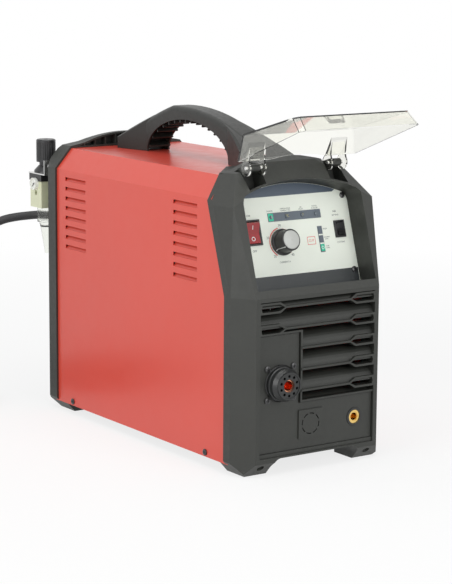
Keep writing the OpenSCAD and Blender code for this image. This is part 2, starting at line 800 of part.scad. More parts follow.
handle_y = (bezel_rear(shoulder_h) + body_l - rear_bezel_d) / 2 + 20;
handle_c = [handle_y, handle_h - handle_r];
tail_r = 548;  // radius of the tail, which meets the crown at a soft edge
tail_a = 19;  // its slope where it starts
tail_c = [handle_y + 37.4, handle_h - 6.3] - tail_r * [sin(tail_a), cos(tail_a)];
leg_step = 0.6;  // the legs lie this far under the grip
leg_low = cover_top + seat_gap;
hole_c = [handle_y - 20, cover_top];  // middle of the hand opening, a half ellipse
hole_a = 94;
hole_b = handle_h - grip_d - hole_c[1];
groove_d = 12;  // depth of the groove round the hand opening
round_r = 7;
rib_n = 16;

// A wheel about c, in (y, z), whose rounded rim is the grip's outer side
module wheel(c, r) translate([0, c[0], c[1]]) rotate([0, 90, 0]) rotate_extrude($fn = 240) {
    h = grip_w / 2;
    translate([0, -h]) square([r - round_r, grip_w]);
    translate([0, round_r - h]) square([r, grip_w - 2 * round_r]);
    for (s = [-1, 1]) translate([r - round_r, s * (h - round_r)]) circle(r = round_r, $fn = 48);
}

// A flared leg under the arc about c, its half plan given as (x, y)
module leg(c, r, plan) intersection() {
    translate([0, c[0], c[1]]) rotate([0, 90, 0]) cylinder(r = r, h = 200, center = true, $fn = 240);
    translate([0, 0, leg_low]) linear_extrude(100) polygon(both(plan));
}

// A plan moved in by the wall, between y0 and y1
function inside(plan, y0, y1) = [for (p = plan) [p[0] - wall - 0.5, min(y1, max(y0, p[1]))]];

// The elliptic cylinder of the hand opening, grown by g
module hand_hole(g, w) translate([-w / 2, hole_c[0], hole_c[1]]) rotate([90, 0, 90])
    linear_extrude(w) polygon([for (a = [0:4:356]) [(hole_a + g) * cos(a), (hole_b + g) * sin(a)]]);

front_plan = [[grip_w / 2 - 1, 190], [grip_w / 2 - 1, 171], [25, 143], [33, 120], [47, 80]];
rear_plan = [[grip_w / 2 - 1, 428], [29, 408], [17, 353], [grip_w / 2 - 2, 340]];

// Ribs square to the opening's edge, evenly spaced round it
module finger_ribs() for (k = [0:rib_n - 1]) {
    phi = 6 + 168 * k / (rib_n - 1);
    a = hole_a - rib_d;
    b = hole_b - rib_d;
    t = atan2(sqrt(a / b) * sin(phi), cos(phi));
    w = grip_w - 2 * wall + 1;
    translate([0, hole_c[0] + a * cos(t), hole_c[1] + b * sin(t)])
        rotate([atan2(a * sin(t), b * cos(t)), 0, 0])
            translate([-w / 2, 0, -1]) cube([w, rib_d + groove_d + 1, 2]);
}

module carry_handle() place() color(plastic) difference() {
    intersection() {
        union() {
            difference() {
                union() {
                    intersection() {
                        wheel(handle_c, handle_r);
                        wheel(tail_c, tail_r);
                        translate([-100, 0, leg_low]) cube([200, body_l, 100]);
                    }
                    difference() {
                        leg(handle_c, handle_r - leg_step, front_plan);
                        leg(handle_c, handle_r - wall - 0.5, inside(front_plan, 0, 148));
                        both_sides() beyond([33, 120, 371.3], [0.944, -0.12, 0.893]);
                    }
                    difference() {
                        leg(tail_c, tail_r - leg_step, rear_plan);
                        leg(tail_c, tail_r - wall - 0.5, inside(rear_plan, 369, 424));
                        both_sides() beyond([23.8, 381, 376.6], [0.978, 0.234, 0.896]);
                    }
                }
                hand_hole(0, 200);
                hand_hole(groove_d, grip_w - 2 * wall);
            }
            finger_ribs();
        }
        translate([-100, 0, leg_low]) cube([200, body_l - rear_bezel_d - seat_gap, 100]);
    }
    // the front foot leans with the bezel and stands on its tongue
    difference() {
        translate([-100, -1, 0]) cube([200, tongue_rear + 2, big]);
        behind_bezel(seat_gap);
    }
    translate([-100, 0, 0]) cube([200, tongue_rear + seat_gap, shoulder_h]);
}

// -- clear lid

lid_open = 93.5;  // the lid's modelled place, from closed
lid_rest = 0.6;  // the closed rim stands this far off the slope
lid_v0 = 24.8;  // free edge of the closed lid's plate, up the slope
lid_v1 = lid_v0 + sqrt(lid_l * lid_l - pow(heel_h - rim_h, 2));
rim_run = 10.3;  // how far the free edge's wall leans out
heel_run = 14.5;  // how far the hinge side's wall leans out
side_lean = 0.16;
eye_r = 9.3;

// Swings what is drawn closed on the slope up to the lid's place
module lid_frame() translate([0, pivot_y, pivot_z]) rotate([-lid_open, 0, 0])
    translate([0, -pivot_y, -pivot_z]) on_slope() children();

// The tray's block as it lies closed, its faces moved in by t
module lid_form(t) {
    edge = [lid_w / 2 - 5, lid_v0, lid_rest + rim_h];
    heel = [lid_w / 2, lid_v1, lid_rest + heel_h];
    side_n = unit([1, 0, side_lean]);
    end_n = unit([0, -rim_h, rim_run]);
    heel_n = unit([0, heel_h, heel_run]);
    plate_n = unit([0, rim_h - heel_h, lid_v1 - lid_v0]);
    difference() {
        translate([-lid_w, 0, lid_rest - (t > 0 ? 1 : 0)]) cube([2 * lid_w, 200, 60]);
        beyond(edge - t * end_n, end_n);
        beyond(edge - t * plate_n, plate_n);
        beyond(heel - t * heel_n, heel_n);
        both_sides() {
            beyond([lid_w / 2, 0, rim_h + 6] - t * side_n, side_n);
            beyond(edge - t * unit(side_n + end_n), side_n + end_n);
        }
    }
}

leg_a = [lid_v1 + heel_run * 0.33, lid_rest + heel_h * 0.67];  // where a leg leaves the rear wall
leg_b = pivot_vw + [7.8, 4.8];  // where its rear edge meets the eye

// A rib of a leg in (v, w), lying closed: from the rear wall down to the eye
module leg_rib() {
    polygon([leg_a - [1, 0.5], leg_a, leg_b, pivot_vw - [8.5, 3.7],
             [lid_v1 + heel_run - 1.5, lid_rest + 0.9]]);
    translate(pivot_vw) circle(r = eye_r, $fn = 64);
}

module leg_web() {
    d = lid_t * unit([leg_a[1] - leg_b[1], leg_b[0] - leg_a[0]]);
    end = leg_a + 0.7 * (leg_b - leg_a);  // clear of the hinge lug
    polygon([leg_a, end, end - d, leg_a - d]);
}

module clear_lid() place() color(clear) difference() {
    lid_frame() {
        difference() {
            lid_form(0);
            lid_form(lid_t);
        }
        both_sides() {
            for (x = [-1, 1]) across(hinge_x + x * (leg_w - lid_t) / 2, lid_t) leg_rib();
            across(hinge_x, leg_w) leg_web();
        }
    }
    on_pivot(-big / 2) cylinder(r = pin_r + run_gap, h = big, $fn = 48);
    // the rear wall's rim is arched over the crest
    facing_front(60) translate([0, crest_h - crest_r, 0]) intersection() {
        cylinder(r = crest_r + 4, h = 30, $fn = 240);
        translate([-crest_half, 0, 0]) cube([2 * crest_half, big, 30]);
    }
}

module lid_pins() place() color(steel) both_sides() on_pivot(hinge_x - leg_w / 2)
    cylinder(r = pin_r - 0.01, h = leg_w, $fn = 48);

// -- control panel

plate_w = -recess_depth;  // front face of the control plate, from the slope
panel_screw_x = 80;
panel_screw_v = [26, hood_v - 20.5];
panel_screw_r = 1.6;
power_x = -61.5;
power_v = 81.4;
mode_x = 67.8;
mode_v = 76.7;
dial_x = -20;
dial_v = 67;
led_x = [-30.7, -7.8, 15.3, 35.7];
led_v = 97.8;
led_r = 2.4;
display_x = 38.2;
display_v = 66.4;
switch_gap = 0.2;

module on_plate() on_slope() translate([0, 0, plate_w]) children();

module switch_cutout(x, v, w, h) translate([x - w / 2 + 1.5, v - h / 2 + 1, -20])
    cube([w - 3, h - 2, 40]);

module control_plate() place() color(white) on_plate() difference() {
    translate([0, 0, -plate_t]) linear_extrude(plate_t) recess_outline(-seat_gap);
    switch_cutout(power_x, power_v, power_w, power_h);
    switch_cutout(mode_x, mode_v, mode_w, mode_h);
    translate([dial_x, dial_v, -5]) cylinder(r = 4.8, h = 10, $fn = 48);
    for (x = led_x) translate([x, led_v, -5]) cylinder(r = led_r + 0.2, h = 10, $fn = 32);
    for (s = [-1, 1], v = panel_screw_v) translate([s * panel_screw_x, v, -5])
        cylinder(r = panel_screw_r + 0.2, h = 10, $fn = 32);
}

module panel_screws() place() color(black) on_plate()
    for (s = [-1, 1], v = panel_screw_v) translate([s * panel_screw_x, v, 0])
        pan_screw(panel_screw_r, 3.5, 2.2, plate_t + ledge_t + 1);

led_strip = [77.7, 10.5, 0.8];

module led_window() place() color("#5d6670") on_plate() difference() {
    translate([4.1 - led_strip[0] / 2, led_v - led_strip[1] / 2, 0]) cube(led_strip);
    for (x = led_x) translate([x, led_v, -5]) cylinder(r = led_r + 0.2, h = 10, $fn = 32);
}

module indicator_leds() place() color("#7fe0a8") on_plate()
    for (x = led_x) translate([x, led_v, -5]) {
        cylinder(r = led_r, h = 5.2, $fn = 32);
        translate([0, 0, 5.2]) intersection() {
            sphere(r = led_r, $fn = 32);
            cylinder(r = led_r, h = 1.6, $fn = 32);
        }
        translate([0, 0, -1]) cylinder(r = led_r + 0.5, h = 1, $fn = 32);
    }

display_size = [6.7, 31.8, 1];

module level_display() place() color("#5d6670") on_plate() {
    translate([display_x, display_v, 0]) {
        translate([-display_size[0] / 2, -display_size[1] / 2, 0])
            cube([display_size[0], display_size[1], 0.5]);
        for (k = [-1:1]) translate([-display_size[0] / 2 + 0.6, k * 10.6 - 4.4, 0])
            cube([display_size[0] - 1.2, 8.8, display_size[2]]);
    }
}

rocker_tilt = 9;  // lean of a rocker in either position
pivot_deep = 1;  // a rocker's pivot lies this far behind the plate

// Frame and housing of a rocker switch, w by h over its frame
module switch_body(x, v, w, h) translate([x, v, 0]) {
    reach = h / 2 - 2.2;
    difference() {
        union() {
            translate([-w / 2, -h / 2, 0]) cube([w, h, 2]);
            translate([-w / 2 + 1.7, -h / 2 + 1.2, -24]) cube([w - 3.4, h - 2.4, 24.5]);
        }
        translate([-w / 2 + 2.9, -reach - 0.3, -14.5]) cube([w - 5.8, 2 * reach + 0.6, 30]);
        translate([0, 0, -pivot_deep]) rotate([0, 90, 0])
            cylinder(r = 1.5 + run_gap, h = w - 4.4, center = true, $fn = 32);
    }
    for (k = [-1:1]) translate([-2.4, k * h / 4 - 0.4, -32]) cube([4.8, 0.8, 8.5]);
}

// The rocker itself: its ends are arcs about the pivot, its face is a shallow vee
module switch_rocker(x, v, w, h, tilt) {
    reach = h / 2 - 2.2;
    translate([x, v, -pivot_deep]) rotate([tilt, 0, 0]) {
        across(0, w - 5.8 - 2 * switch_gap) difference() {
            circle(r = reach, $fn = 96);
            polygon([[-reach - 1, 6.2], [0, 2.6], [reach + 1, 6.2], [reach + 1, 40], [-reach - 1, 40]]);
            translate([-reach - 1, -2 * reach - 7]) square([2 * reach + 2, 2 * reach]);
        }
        rotate([0, 90, 0]) cylinder(r = 1.5, h = w - 4.8, center = true, $fn = 32);
    }
}

module power_switch_body() place() color(black) on_plate() switch_body(power_x, power_v, power_w, power_h);
module power_rocker() place() color("#b3161c") on_plate()
    switch_rocker(power_x, power_v, power_w, power_h, rocker_tilt);
module mode_switch_body() place() color(black) on_plate() switch_body(mode_x, mode_v, mode_w, mode_h);
module mode_rocker() place() color(black) on_plate()
    switch_rocker(mode_x, mode_v, mode_w, mode_h, -rocker_tilt);

cap_r = 11.5;
pointer_a = 218;  // where the knob's mark points at rest

module on_dial() on_plate() translate([dial_x, dial_v, 0]) children();

module current_pot() place() color(steel) on_dial() difference() {
    union() {
        translate([0, 0, -plate_t - 10]) cylinder(r = 8.5, h = 10, $fn = 64);
        translate([0, 0, -plate_t - 1]) cylinder(r = 4.6, h = plate_t + 4.5, $fn = 48);
        cylinder(r = 6, h = 2.2, $fn = 6);
    }
    translate([0, 0, -plate_t - 8]) cylinder(r = shaft_r + run_gap, h = 40, $fn = 48);
}

module pot_shaft() place() color(steel) on_dial() translate([0, 0, -plate_t - 7.8])
    cylinder(r = shaft_r, h = knob_h + plate_t + 3.5, $fn = 48);

module current_knob() place() color(black) on_dial() difference() {
    rotate_extrude($fn = 96) polygon([
        [0, 0.8], [knob_r, 0.8], [knob_r, 2.6], [knob_r - 2.2, 4], [knob_r - 3, knob_h - 0.8],
        [knob_r - 3.8, knob_h], [0, knob_h]]);
    translate([0, 0, -1]) cylinder(r = shaft_r + 0.02, h = knob_h - 3, $fn = 48);
    translate([0, 0, 0]) cylinder(r = 8.2, h = 4.5, $fn = 64);
    translate([0, 0, knob_h - 1.2]) cylinder(r = cap_r, h = 5, $fn = 96);
    rotate([0, 0, pointer_a]) translate([knob_r - 3.3, -0.6, 3]) cube([5, 1.2, knob_h]);
}

module knob_cap() place() color("#b9bcba") on_dial() translate([0, 0, knob_h - 1.2])
    rotate_extrude($fn = 96) polygon([
        [0, 0], [cap_r - 0.1, 0], [cap_r - 0.1, 1.2], [cap_r - 0.7, 1.7], [0, 2]]);

// -- sockets on the connector plate

knockout_x = -8.8;
knockout_z = 56.3;
pad_half = 17.5;
conn_back = conn_y + conn_t;  // rear face of the connector plate

module connector_plate() place() color(plastic) facing_front(conn_back) difference() {
    union() {
        linear_extrude(conn_t) conn_outline(0);
        translate([knockout_x - pad_half, knockout_z - pad_half, 0])
            cube([2 * pad_half, 2 * pad_half, conn_t + 1.6]);
    }
    translate([torch_x, torch_z, -1]) cylinder(r = torch_hole_r, h = 10, $fn = 96);
    for (s = [-1, 1], t = [-1, 1])
        translate([torch_x + s * torch_bolts / 2, torch_z + t * torch_bolts / 2, -1])
            cylinder(r = 2.2, h = 10, $fn = 32);
    translate([earth_x, earth_z, -1]) cylinder(r = 11.6, h = 10, $fn = 64);
    translate([knockout_x, knockout_z, -1]) difference() {
        cylinder(r = knockout_r, h = 10, $fn = 96);
        cylinder(r = knockout_r - 1.2, h = 10, $fn = 96);
        for (a = [0:45:135]) rotate([0, 0, a + 12]) translate([-20, -1.3, 0]) cube([40, 2.6, 10]);
    }
}

// Z runs from the plate rear face to the front, on the torch socket axis
module on_torch() facing_front(conn_back) translate([torch_x, torch_z, 0]) children();

shell_r = torch_r - 1.6;  // bore of the socket's body

module torch_socket_body() place() color(black) on_torch() difference() {
    union() {
        translate([0, 0, -4]) intersection() {
            translate([-torch_bolts / 2 - 6, -torch_bolts / 2 - 6, 0])
                cube([torch_bolts + 12, torch_bolts + 12, 4]);
            cylinder(r = torch_bolts * 0.82, h = 4, $fn = 96);
        }
        front = conn_t + torch_reach;
        rotate_extrude($fn = 96) polygon([
            [0, -24], [torch_r + 1, -24], [torch_r + 1, 0], [torch_hole_r - 1, 0],
            [torch_hole_r - 1, conn_t - 0.5], [torch_r + 4, conn_t + 0.5], [torch_r + 4, conn_t + 5],
            [torch_r + 2.8, conn_t + 5.6], [torch_r + 2.8, conn_t + 7.6], [torch_r + 3.4, conn_t + 8.4],
            [torch_r + 3.4, conn_t + 12], [torch_r + 0.4, front - 2], [torch_r, front], [0, front]]);
    }
    translate([0, 0, -30]) cylinder(r = shell_r, h = 80, $fn = 96);
    for (s = [-1, 1], t = [-1, 1]) translate([s * torch_bolts / 2, t * torch_bolts / 2, -6])
        cylinder(r = 2.02, h = 10, $fn = 32);
}

pin_n = 10;
pin_ring_r = 11.7;
contact_l = 34;

module torch_socket_insert() place() color(black) on_torch() difference() {
    front = conn_t + torch_reach - 0.8;
    translate([0, 0, front - 18]) cylinder(r = shell_r - 0.02, h = 18, $fn = 96);
    translate([0, 0, -30]) cylinder(r = torch_bore_r + 1.52, h = 80, $fn = 64);
    for (a = [0:360 / pin_n:359]) rotate([0, 0, a + 18]) translate([pin_ring_r, 0, front - 9])
        cylinder(r = 1.75, h = 20, $fn = 24);
}

module torch_contact() place() color(copper) on_torch() {
    front = conn_t + torch_reach - 3.5;
    difference() {
        translate([0, 0, front - contact_l]) cylinder(r = torch_bore_r + 1.5, h = contact_l, $fn = 64);
        translate([0, 0, front - contact_l + 6]) cylinder(r = torch_bore_r, h = contact_l, $fn = 64);
    }
}

module socket_screws() place() color(black) facing_front(conn_y)
    for (s = [-1, 1], t = [-1, 1])
        translate([torch_x + s * torch_bolts / 2, torch_z + t * torch_bolts / 2, 0])
            pan_screw(2, 3.8, 2.4, conn_t + 4.5);

module on_earth() facing_front(conn_back) translate([earth_x, earth_z, 0]) children();

earth_r = 8.3;

module earth_socket_body() place() color(black) on_earth() difference() {
    union() {
        translate([0, 0, -5]) cylinder(r = 14.5, h = 5, $fn = 64);
        cylinder(r = 11.3, h = conn_t + 0.6, $fn = 64);
        translate([0, 0, -16]) cylinder(r = 11, h = 16, $fn = 64);
    }
    translate([0, 0, -20]) cylinder(r = earth_r + 0.02, h = 40, $fn = 64);
}

module earth_contact() place() color(brass) on_earth() difference() {
    translate([0, 0, -24]) cylinder(r = earth_r, h = 24 + conn_t - 0.4, $fn = 64);
    translate([0, 0, conn_t - 1.4]) cylinder(r = 6, h = 10, $fn = 6);
    translate([0, 0, -20]) cylinder(r = earth_bore_r, h = 60, $fn = 64);
}

// -- regulator and filter

bracket_z = 312.5;
bracket_t = 1.5;
reg_half = reg_w / 2;
reg_z0 = 267;  // underside of the regulator's body
reg_z1 = 303;  // top of the light part of the body
neck_r = 9;
knob_z = 328;
reg_knob_h = 30;

module on_reg(z) translate([reg_x, reg_y, z]) children();

module regulator_bracket() place() color(steel) difference() {
    union() {
        translate([reg_x - reg_half - 2, body_l, bracket_z])
            cube([reg_w + 4, reg_reach + reg_half, bracket_t]);
        translate([reg_x - reg_half - 2, body_l, bracket_z]) cube([reg_w + 4, bracket_t, 20]);
    }
    on_reg(bracket_z - 1) cylinder(r = neck_r + 0.1, h = 5, $fn = 64);
    for (s = [-1, 1]) translate([reg_x + s * (reg_half - 2), body_l - 1, bracket_z + 13])
        rotate([-90, 0, 0]) cylinder(r = 2.2, h = 5, $fn = 32);
}

module regulator_body() place() color("#d9dcc4") {
    difference() {
        on_reg(reg_z0) translate([-reg_half, -reg_half + 1, 0])
            cube([reg_w, reg_w - 2, reg_z1 - reg_z0]);
        on_reg(0) translate([-reg_half - 1, 0, nipple_z + 3]) rotate([0, 90, 0])
            cylinder(r = 3.2, h = 9, $fn = 32);
        on_reg(0) translate([-reg_half - 1, 0, gauge_z]) rotate([0, 90, 0])
            cylinder(r = 2, h = 9, $fn = 32);
    }
}

gauge_z = reg_z1 - 4;

module regulator_bonnet() place() color(black) difference() {
    union() {
        on_reg(reg_z1) translate([-reg_half - 1, -reg_half, 0])
            cube([reg_w + 2, reg_w, bracket_z - reg_z1]);
        on_reg(bracket_z - 0.1) cylinder(r = neck_r, h = knob_z - bracket_z - 0.4, $fn = 64);
        on_reg(bracket_z + bracket_t) rotate_extrude($fn = 64) polygon([
            [0, 0], [reg_half, 0], [reg_half, 2.5], [neck_r + 1, 9], [0, 9]]);
    }
    on_reg(reg_z1 + 4) cylinder(r = 3 + run_gap, h = 60, $fn = 48);
    // clears the gauge's rim
    on_reg(0) translate([-reg_half - 8, 0, gauge_z]) rotate([0, 90, 0])
        cylinder(r = gauge_r + 0.4, h = 8, $fn = 64);
}

module regulator_knob() place() color("#3a3c3d") on_reg(knob_z) {
    difference() {
        rotate_extrude($fn = 96) polygon([
            [0, 0], [reg_knob_r, 0], [reg_knob_r, reg_knob_h - 1.2], [reg_knob_r - 1.2, reg_knob_h],
            [3, reg_knob_h], [2.4, reg_knob_h - 1], [0, reg_knob_h - 1]]);
        for (a = [0:15:345]) rotate([0, 0, a]) translate([reg_knob_r + 0.5, 0, 3])
            cylinder(r = 1, h = reg_knob_h - 7, $fn = 16);
    }
    translate([0, 0, -20]) cylinder(r = 3, h = 21, $fn = 48);
}

module air_nipple() place() color("#77784f") translate([reg_x, body_l - 8, nipple_z])
    rotate([-90, 0, 0]) difference() {
        union() {
            cylinder(r = nipple_r, h = 8 + reg_reach - reg_half + 1, $fn = 48);
            translate([0, 0, 8.3]) cylinder(r = nipple_r + 3, h = 6, $fn = 6);
        }
        translate([0, 0, -1]) cylinder(r = 3, h = 60, $fn = 32);
    }

bowl_r = 9.5;

module filter_bowl() place() color([0.9, 0.92, 0.88, 0.5]) {
    on_reg(0) rotate_extrude($fn = 64) polygon([
        [0, 204], [3, 204], [3.4, 210], [bowl_r - 1.2, 240], [bowl_r, 243], [bowl_r, 247],
        [bowl_r + 3, 247], [bowl_r + 3, reg_z0], [0, reg_z0]]);
}

module pressure_gauge() place() color(white) on_reg(gauge_z) rotate([0, -90, 0]) difference() {
    union() {
        translate([0, 0, reg_half]) cylinder(r = gauge_r, h = 5, $fn = 64);
        translate([0, 0, reg_half - 6]) cylinder(r = 1.98, h = 7, $fn = 32);
    }
    translate([0, 0, reg_half + 3]) cylinder(r = gauge_r - 1, h = 5, $fn = 64);
    translate([0, 0, reg_half + 1]) cylinder(r = 0.5 + run_gap, h = 5, $fn = 24);
}

module gauge_needle() place() color(black) on_reg(gauge_z) rotate([0, -90, 0])
    translate([0, 0, reg_half]) {
        translate([0, 0, 1.2]) cylinder(r = 0.5, h = 2.6, $fn = 24);
        translate([0, 0, 3.4]) cylinder(r = 1.1, h = 0.6, $fn = 32);
        rotate([0, 0, 135]) translate([-2, -0.3, 3.4]) cube([gauge_r - 0.2, 0.6, 0.5]);
    }

// -- mains lead

// Route of the free lead, from the gland's mouth to the coil, as (x, y, z)
lead_route = [
    [-64, 482, 252], [-64, 490, 252], [-65.4, 500.5, 252], [-69.7, 512.3, 251.5],
    [-76.4, 522.8, 250.7], [-85.4, 531.6, 249.7], [-96, 538.5, 248.5], [-108, 545.5, 246.8],
    [-121.5, 553, 243.6], [-134.5, 560, 237.5], [-146.5, 566.8, 228], [-156, 573.5, 214.5],
    [-162, 580, 197], [-165, 586, 176], [-166, 591, 152], [-166, 596, 127], [-166, 601, 102],
    [-167, 606, 78], [-171, 610.5, 56], [-179.5, 614.5, 36.5], [-191.5, 618, 21.5],
    [-206, 620.7, 11.5], [-221, 622, 7], [-236, 622, 6]];

coil_turns = 3;
coil_pitch = cord_d + 0.6;
coil_rise = cord_d + 0.6;
coil_outer_r = 82;
coil_x = lead_route[len(lead_route) - 1][0] - cord_d;
coil_y = lead_route[len(lead_route) - 1][1] - coil_outer_r;
cord_r = cord_d / 2;
tube_sides = 10;
ring_step = 24;

function catmull(p0, p1, p2, p3, t) = 0.5 * ((2 * p1) + (p2 - p0) * t
    + (2 * p0 - 5 * p1 + 4 * p2 - p3) * t * t + (3 * p1 - p0 - 3 * p2 + p3) * t * t * t);

// Points of a smooth line through a route, m to each stretch
function smooth(route, m) = let (n = len(route)) concat(
    [for (i = [0:n - 2], j = [0:m - 1])
        catmull(route[max(0, i - 1)], route[i], route[i + 1], route[min(n - 1, i + 2)], j / m)],
    [route[n - 1]]);

function tangent(path, i) = let (n = len(path)) unit(path[min(n - 1, i + 1)] - path[max(0, i - 1)]);

// A frame carried along the path untwisted: each side vector is the last one made
// square to the new direction
function side_vectors(path, i = 0, u = [0, 0, 1]) =
    let (t = tangent(path, i), v = unit(u - (u * t) * t))
        i == len(path) - 1 ? [v] : concat([v], side_vectors(path, i + 1, v));

module tube(path, r, sides, first_t, last_t) {
    n = len(path);
    us = side_vectors(path);
    rings = [for (i = [0:n - 1]) let (
            t = i == 0 ? first_t : i == n - 1 ? last_t : tangent(path, i),
            u = unit(us[i] - (us[i] * t) * t), v = cross(t, u))
        for (k = [0:sides - 1]) let (a = 360 * k / sides) path[i] + r * (cos(a) * u + sin(a) * v)];
    skin = [for (i = [0:n - 2], k = [0:sides - 1]) let (
            a = i * sides + k, b = i * sides + (k + 1) % sides, c = b + sides, d = a + sides)
        each [[a, c, b], [a, d, c]]];
    near = [for (k = [1:sides - 2]) [0, k, k + 1]];
    far = [for (k = [1:sides - 2]) let (o = (n - 1) * sides) [o, o + k + 1, o + k]];
    polyhedron(points = rings, faces = concat(skin, near, far));
}

// Every second point of the smooth line is close enough for the tube's rings
lead_path = smooth(lead_route, 2);

module mains_cord() place() color(black) tube(lead_path, cord_r, tube_sides, [0, 1, 0], [-1, 0, 0]);

// Height and radius along the coil: in on the floor, over in half a turn, out on top
coil_sweep = 360 * (2 * coil_turns + 0.25);
coil_mid = 360 * (coil_turns + 0.25);
function coil_r(a) = coil_outer_r - coil_pitch * min(a, 2 * coil_mid - a) / 360;
function coil_h(a) = cord_r + coil_rise * min(1, max(0, (a - 360 * coil_turns) / 180));
function coil_point(a) = [coil_x - coil_r(a) * sin(a), coil_y + coil_r(a) * cos(a), coil_h(a)];

coil_tail = 40;
coil_end = coil_point(coil_sweep);
coil_points = concat(
    [lead_route[len(lead_route) - 1]],
    [for (a = [0:360 / ring_step:coil_sweep]) coil_point(a)],
    [for (k = [1:3]) [coil_end[0], coil_end[1] - coil_tail * k / 3, coil_end[2] + 1.2 * k / 3]],
    [[coil_end[0], coil_end[1] - coil_tail - cord_d, coil_end[2] + 1.2]]);

function far_gap() = min([for (i = [0:len(coil_points) - 1], j = [i + 8:len(coil_points) - 1])
    norm(coil_points[i] - coil_points[j])]) - cord_d;
echo(coil_gap_to_itself = far_gap());

module cord_coil() place() color(black)
    tube(coil_points, cord_r, 6, [-1, 0, 0], [0, -1, 0]);

plug_at = coil_points[len(coil_points) - 1];

module mains_plug() place() color(black) translate(plug_at) rotate([90, 0, 0]) {
    difference() {
        rotate_extrude($fn = 64) polygon([
            [0, 0], [cord_r + 1.5, 0], [cord_r + 3.2, 26], [12, 30], [18.5, 44], [18.5, 56], [0, 56]]);
        for (k = [0:3]) translate([0, 0, 5 + 5 * k]) difference() {
            cylinder(r = 12, h = 2, $fn = 48);
            translate([0, 0, -1]) cylinder(r = cord_r + 1, h = 4, $fn = 48);
        }
        for (s = [-1, 1]) translate([s * 16.6, 0, 42]) translate([-3, -3.5, 0]) cube([6, 7, 20]);
    }
    for (s = [-1, 1]) translate([0, s * 9.5, 55]) {
        cylinder(r = 2.4, h = 17, $fn = 32);
        translate([0, 0, 17]) sphere(r = 2.4, $fn = 32);
    }
}

module cable_gland() place() color(black) translate([gland_x, panel_y, gland_z]) rotate([-90, 0, 0])
    difference() {
        mouth = 482 - panel_y;
        union() {
            translate([0, 0, -6]) cylinder(r = gland_r + 4, h = 6, $fn = 6);
            cylinder(r = gland_r, h = panel_thick + 0.5, $fn = 48);
            translate([0, 0, panel_thick]) cylinder(r = gland_r + 4.5, h = 5, $fn = 6);
            translate([0, 0, panel_thick + 4]) rotate_extrude($fn = 64) polygon([
                [0, 0], [gland_r + 2, 0], [gland_r + 2, 5], [cord_r + 1.2, mouth - panel_thick - 4],
                [0, mouth - panel_thick - 4]]);
        }
        translate([0, 0, -7]) cylinder(r = cord_r - 2, h = 12, $fn = 48);
    }

// -- inside

part_x = 8;  // the partition's left face
floor_z = base_z + sheet_t;
part_y0 = 110;
part_y1 = 400;
part_h = 285;
board_x = part_x + sheet_t + 8;

module partition() place() color(steel) {
    translate([part_x, part_y0, floor_z]) cube([sheet_t, part_y1 - part_y0, part_h]);
    translate([part_x, part_y0, floor_z]) cube([16, part_y1 - part_y0, sheet_t]);
}

fin_n = 9;
sink_h = 62;
sink_z = 212;

module heatsink() place() color(steel) translate([part_x + sheet_t, part_y0 + 60, sink_z]) {
    cube([6, 170, sink_h]);
    for (k = [0:fin_n - 1]) translate([5.9, 0, k * (sink_h - 1.6) / (fin_n - 1)]) cube([34, 170, 1.6]);
}

module power_board() place() color("#2f6b3c") {
    translate([board_x, part_y0 + 50, 110]) cube([1.6, 200, 92]);
    for (y = [60, 240], z = [118, 194]) translate([part_x + sheet_t, part_y0 + y, z]) rotate([0, 90, 0])
        cylinder(r = 3.5, h = 8.1, $fn = 24);
}

module capacitors() place() color("#2b3a55")
    for (y = [0:3]) translate([board_x + 1.6, part_y0 + 90 + y * 38, 150]) rotate([0, 90, 0])
        cylinder(r = 15, h = 42, $fn = 48);

core_y = 165;

module transformer_core() place() color(dark_steel) translate([32, core_y, floor_z]) difference() {
    cube([56, 42, 66]);
    translate([11, -1, 12]) cube([13, 44, 42]);
    translate([32, -1, 12]) cube([13, 44, 42]);
}

module transformer_winding() place() color("#c98a3a") translate([60, core_y + 21, floor_z + 33])
    difference() {
    translate([-14, -26, -20]) cube([28, 52, 40]);
    translate([-4.3, -21.3, -30]) cube([8.6, 42.6, 60]);
}

motor_y = 160;
motor_z = 68;
motor_x = -50;
motor_r = 40;
motor_l = 150;
head_y = motor_y + 118;

module compressor_motor() place() color("#8f979d") {
    difference() {
        union() {
            translate([motor_x, motor_y, motor_z]) rotate([-90, 0, 0]) {
                cylinder(r = motor_r, h = motor_l - 60, $fn = 96);
                translate([0, 0, motor_l - 60.1]) cylinder(r = motor_r - 4, h = 60.1, $fn = 96);
            }
            for (y = [motor_y + 8, motor_y + 70]) translate([motor_x - 34, y, floor_z])
                cube([68, 14, motor_z - floor_z - 12]);
        }
        translate([motor_x, motor_y + motor_l - 22, motor_z]) rotate([-90, 0, 0])
            cylinder(r = 4 + run_gap, h = 40, $fn = 48);
    }
}

module compressor_head() place() color("#b4bbc0") translate([motor_x, head_y, motor_z]) difference() {
    union() {
        translate([0, 0, 30]) cylinder(r = 24, h = 50, $fn = 96);
        for (k = [0:5]) translate([0, 0, 42 + 6 * k]) cylinder(r = 29, h = 2.4, $fn = 96);
        translate([-24, -24, 80]) cube([48, 48, 12]);
    }
    translate([0, -60, 0]) rotate([-90, 0, 0]) cylinder(r = motor_r - 4 + 0.02, h = 120, $fn = 96);
    translate([0, 0, 84]) cylinder(r = 4, h = 20, $fn = 32);
}

module compressor_flywheel() place() color(dark_steel)
    translate([motor_x, motor_y + motor_l, motor_z]) rotate([-90, 0, 0]) {
        translate([0, 0, -20]) cylinder(r = 4, h = 25, $fn = 48);
        difference() {
            translate([0, 0, 2]) cylinder(r = 34, h = 10, $fn = 96);
            for (a = [0:45:315]) rotate([0, 0, a]) translate([22, 0, 1]) cylinder(r = 5.5, h = 20, $fn = 32);
        }
    }

valve_y = 372;

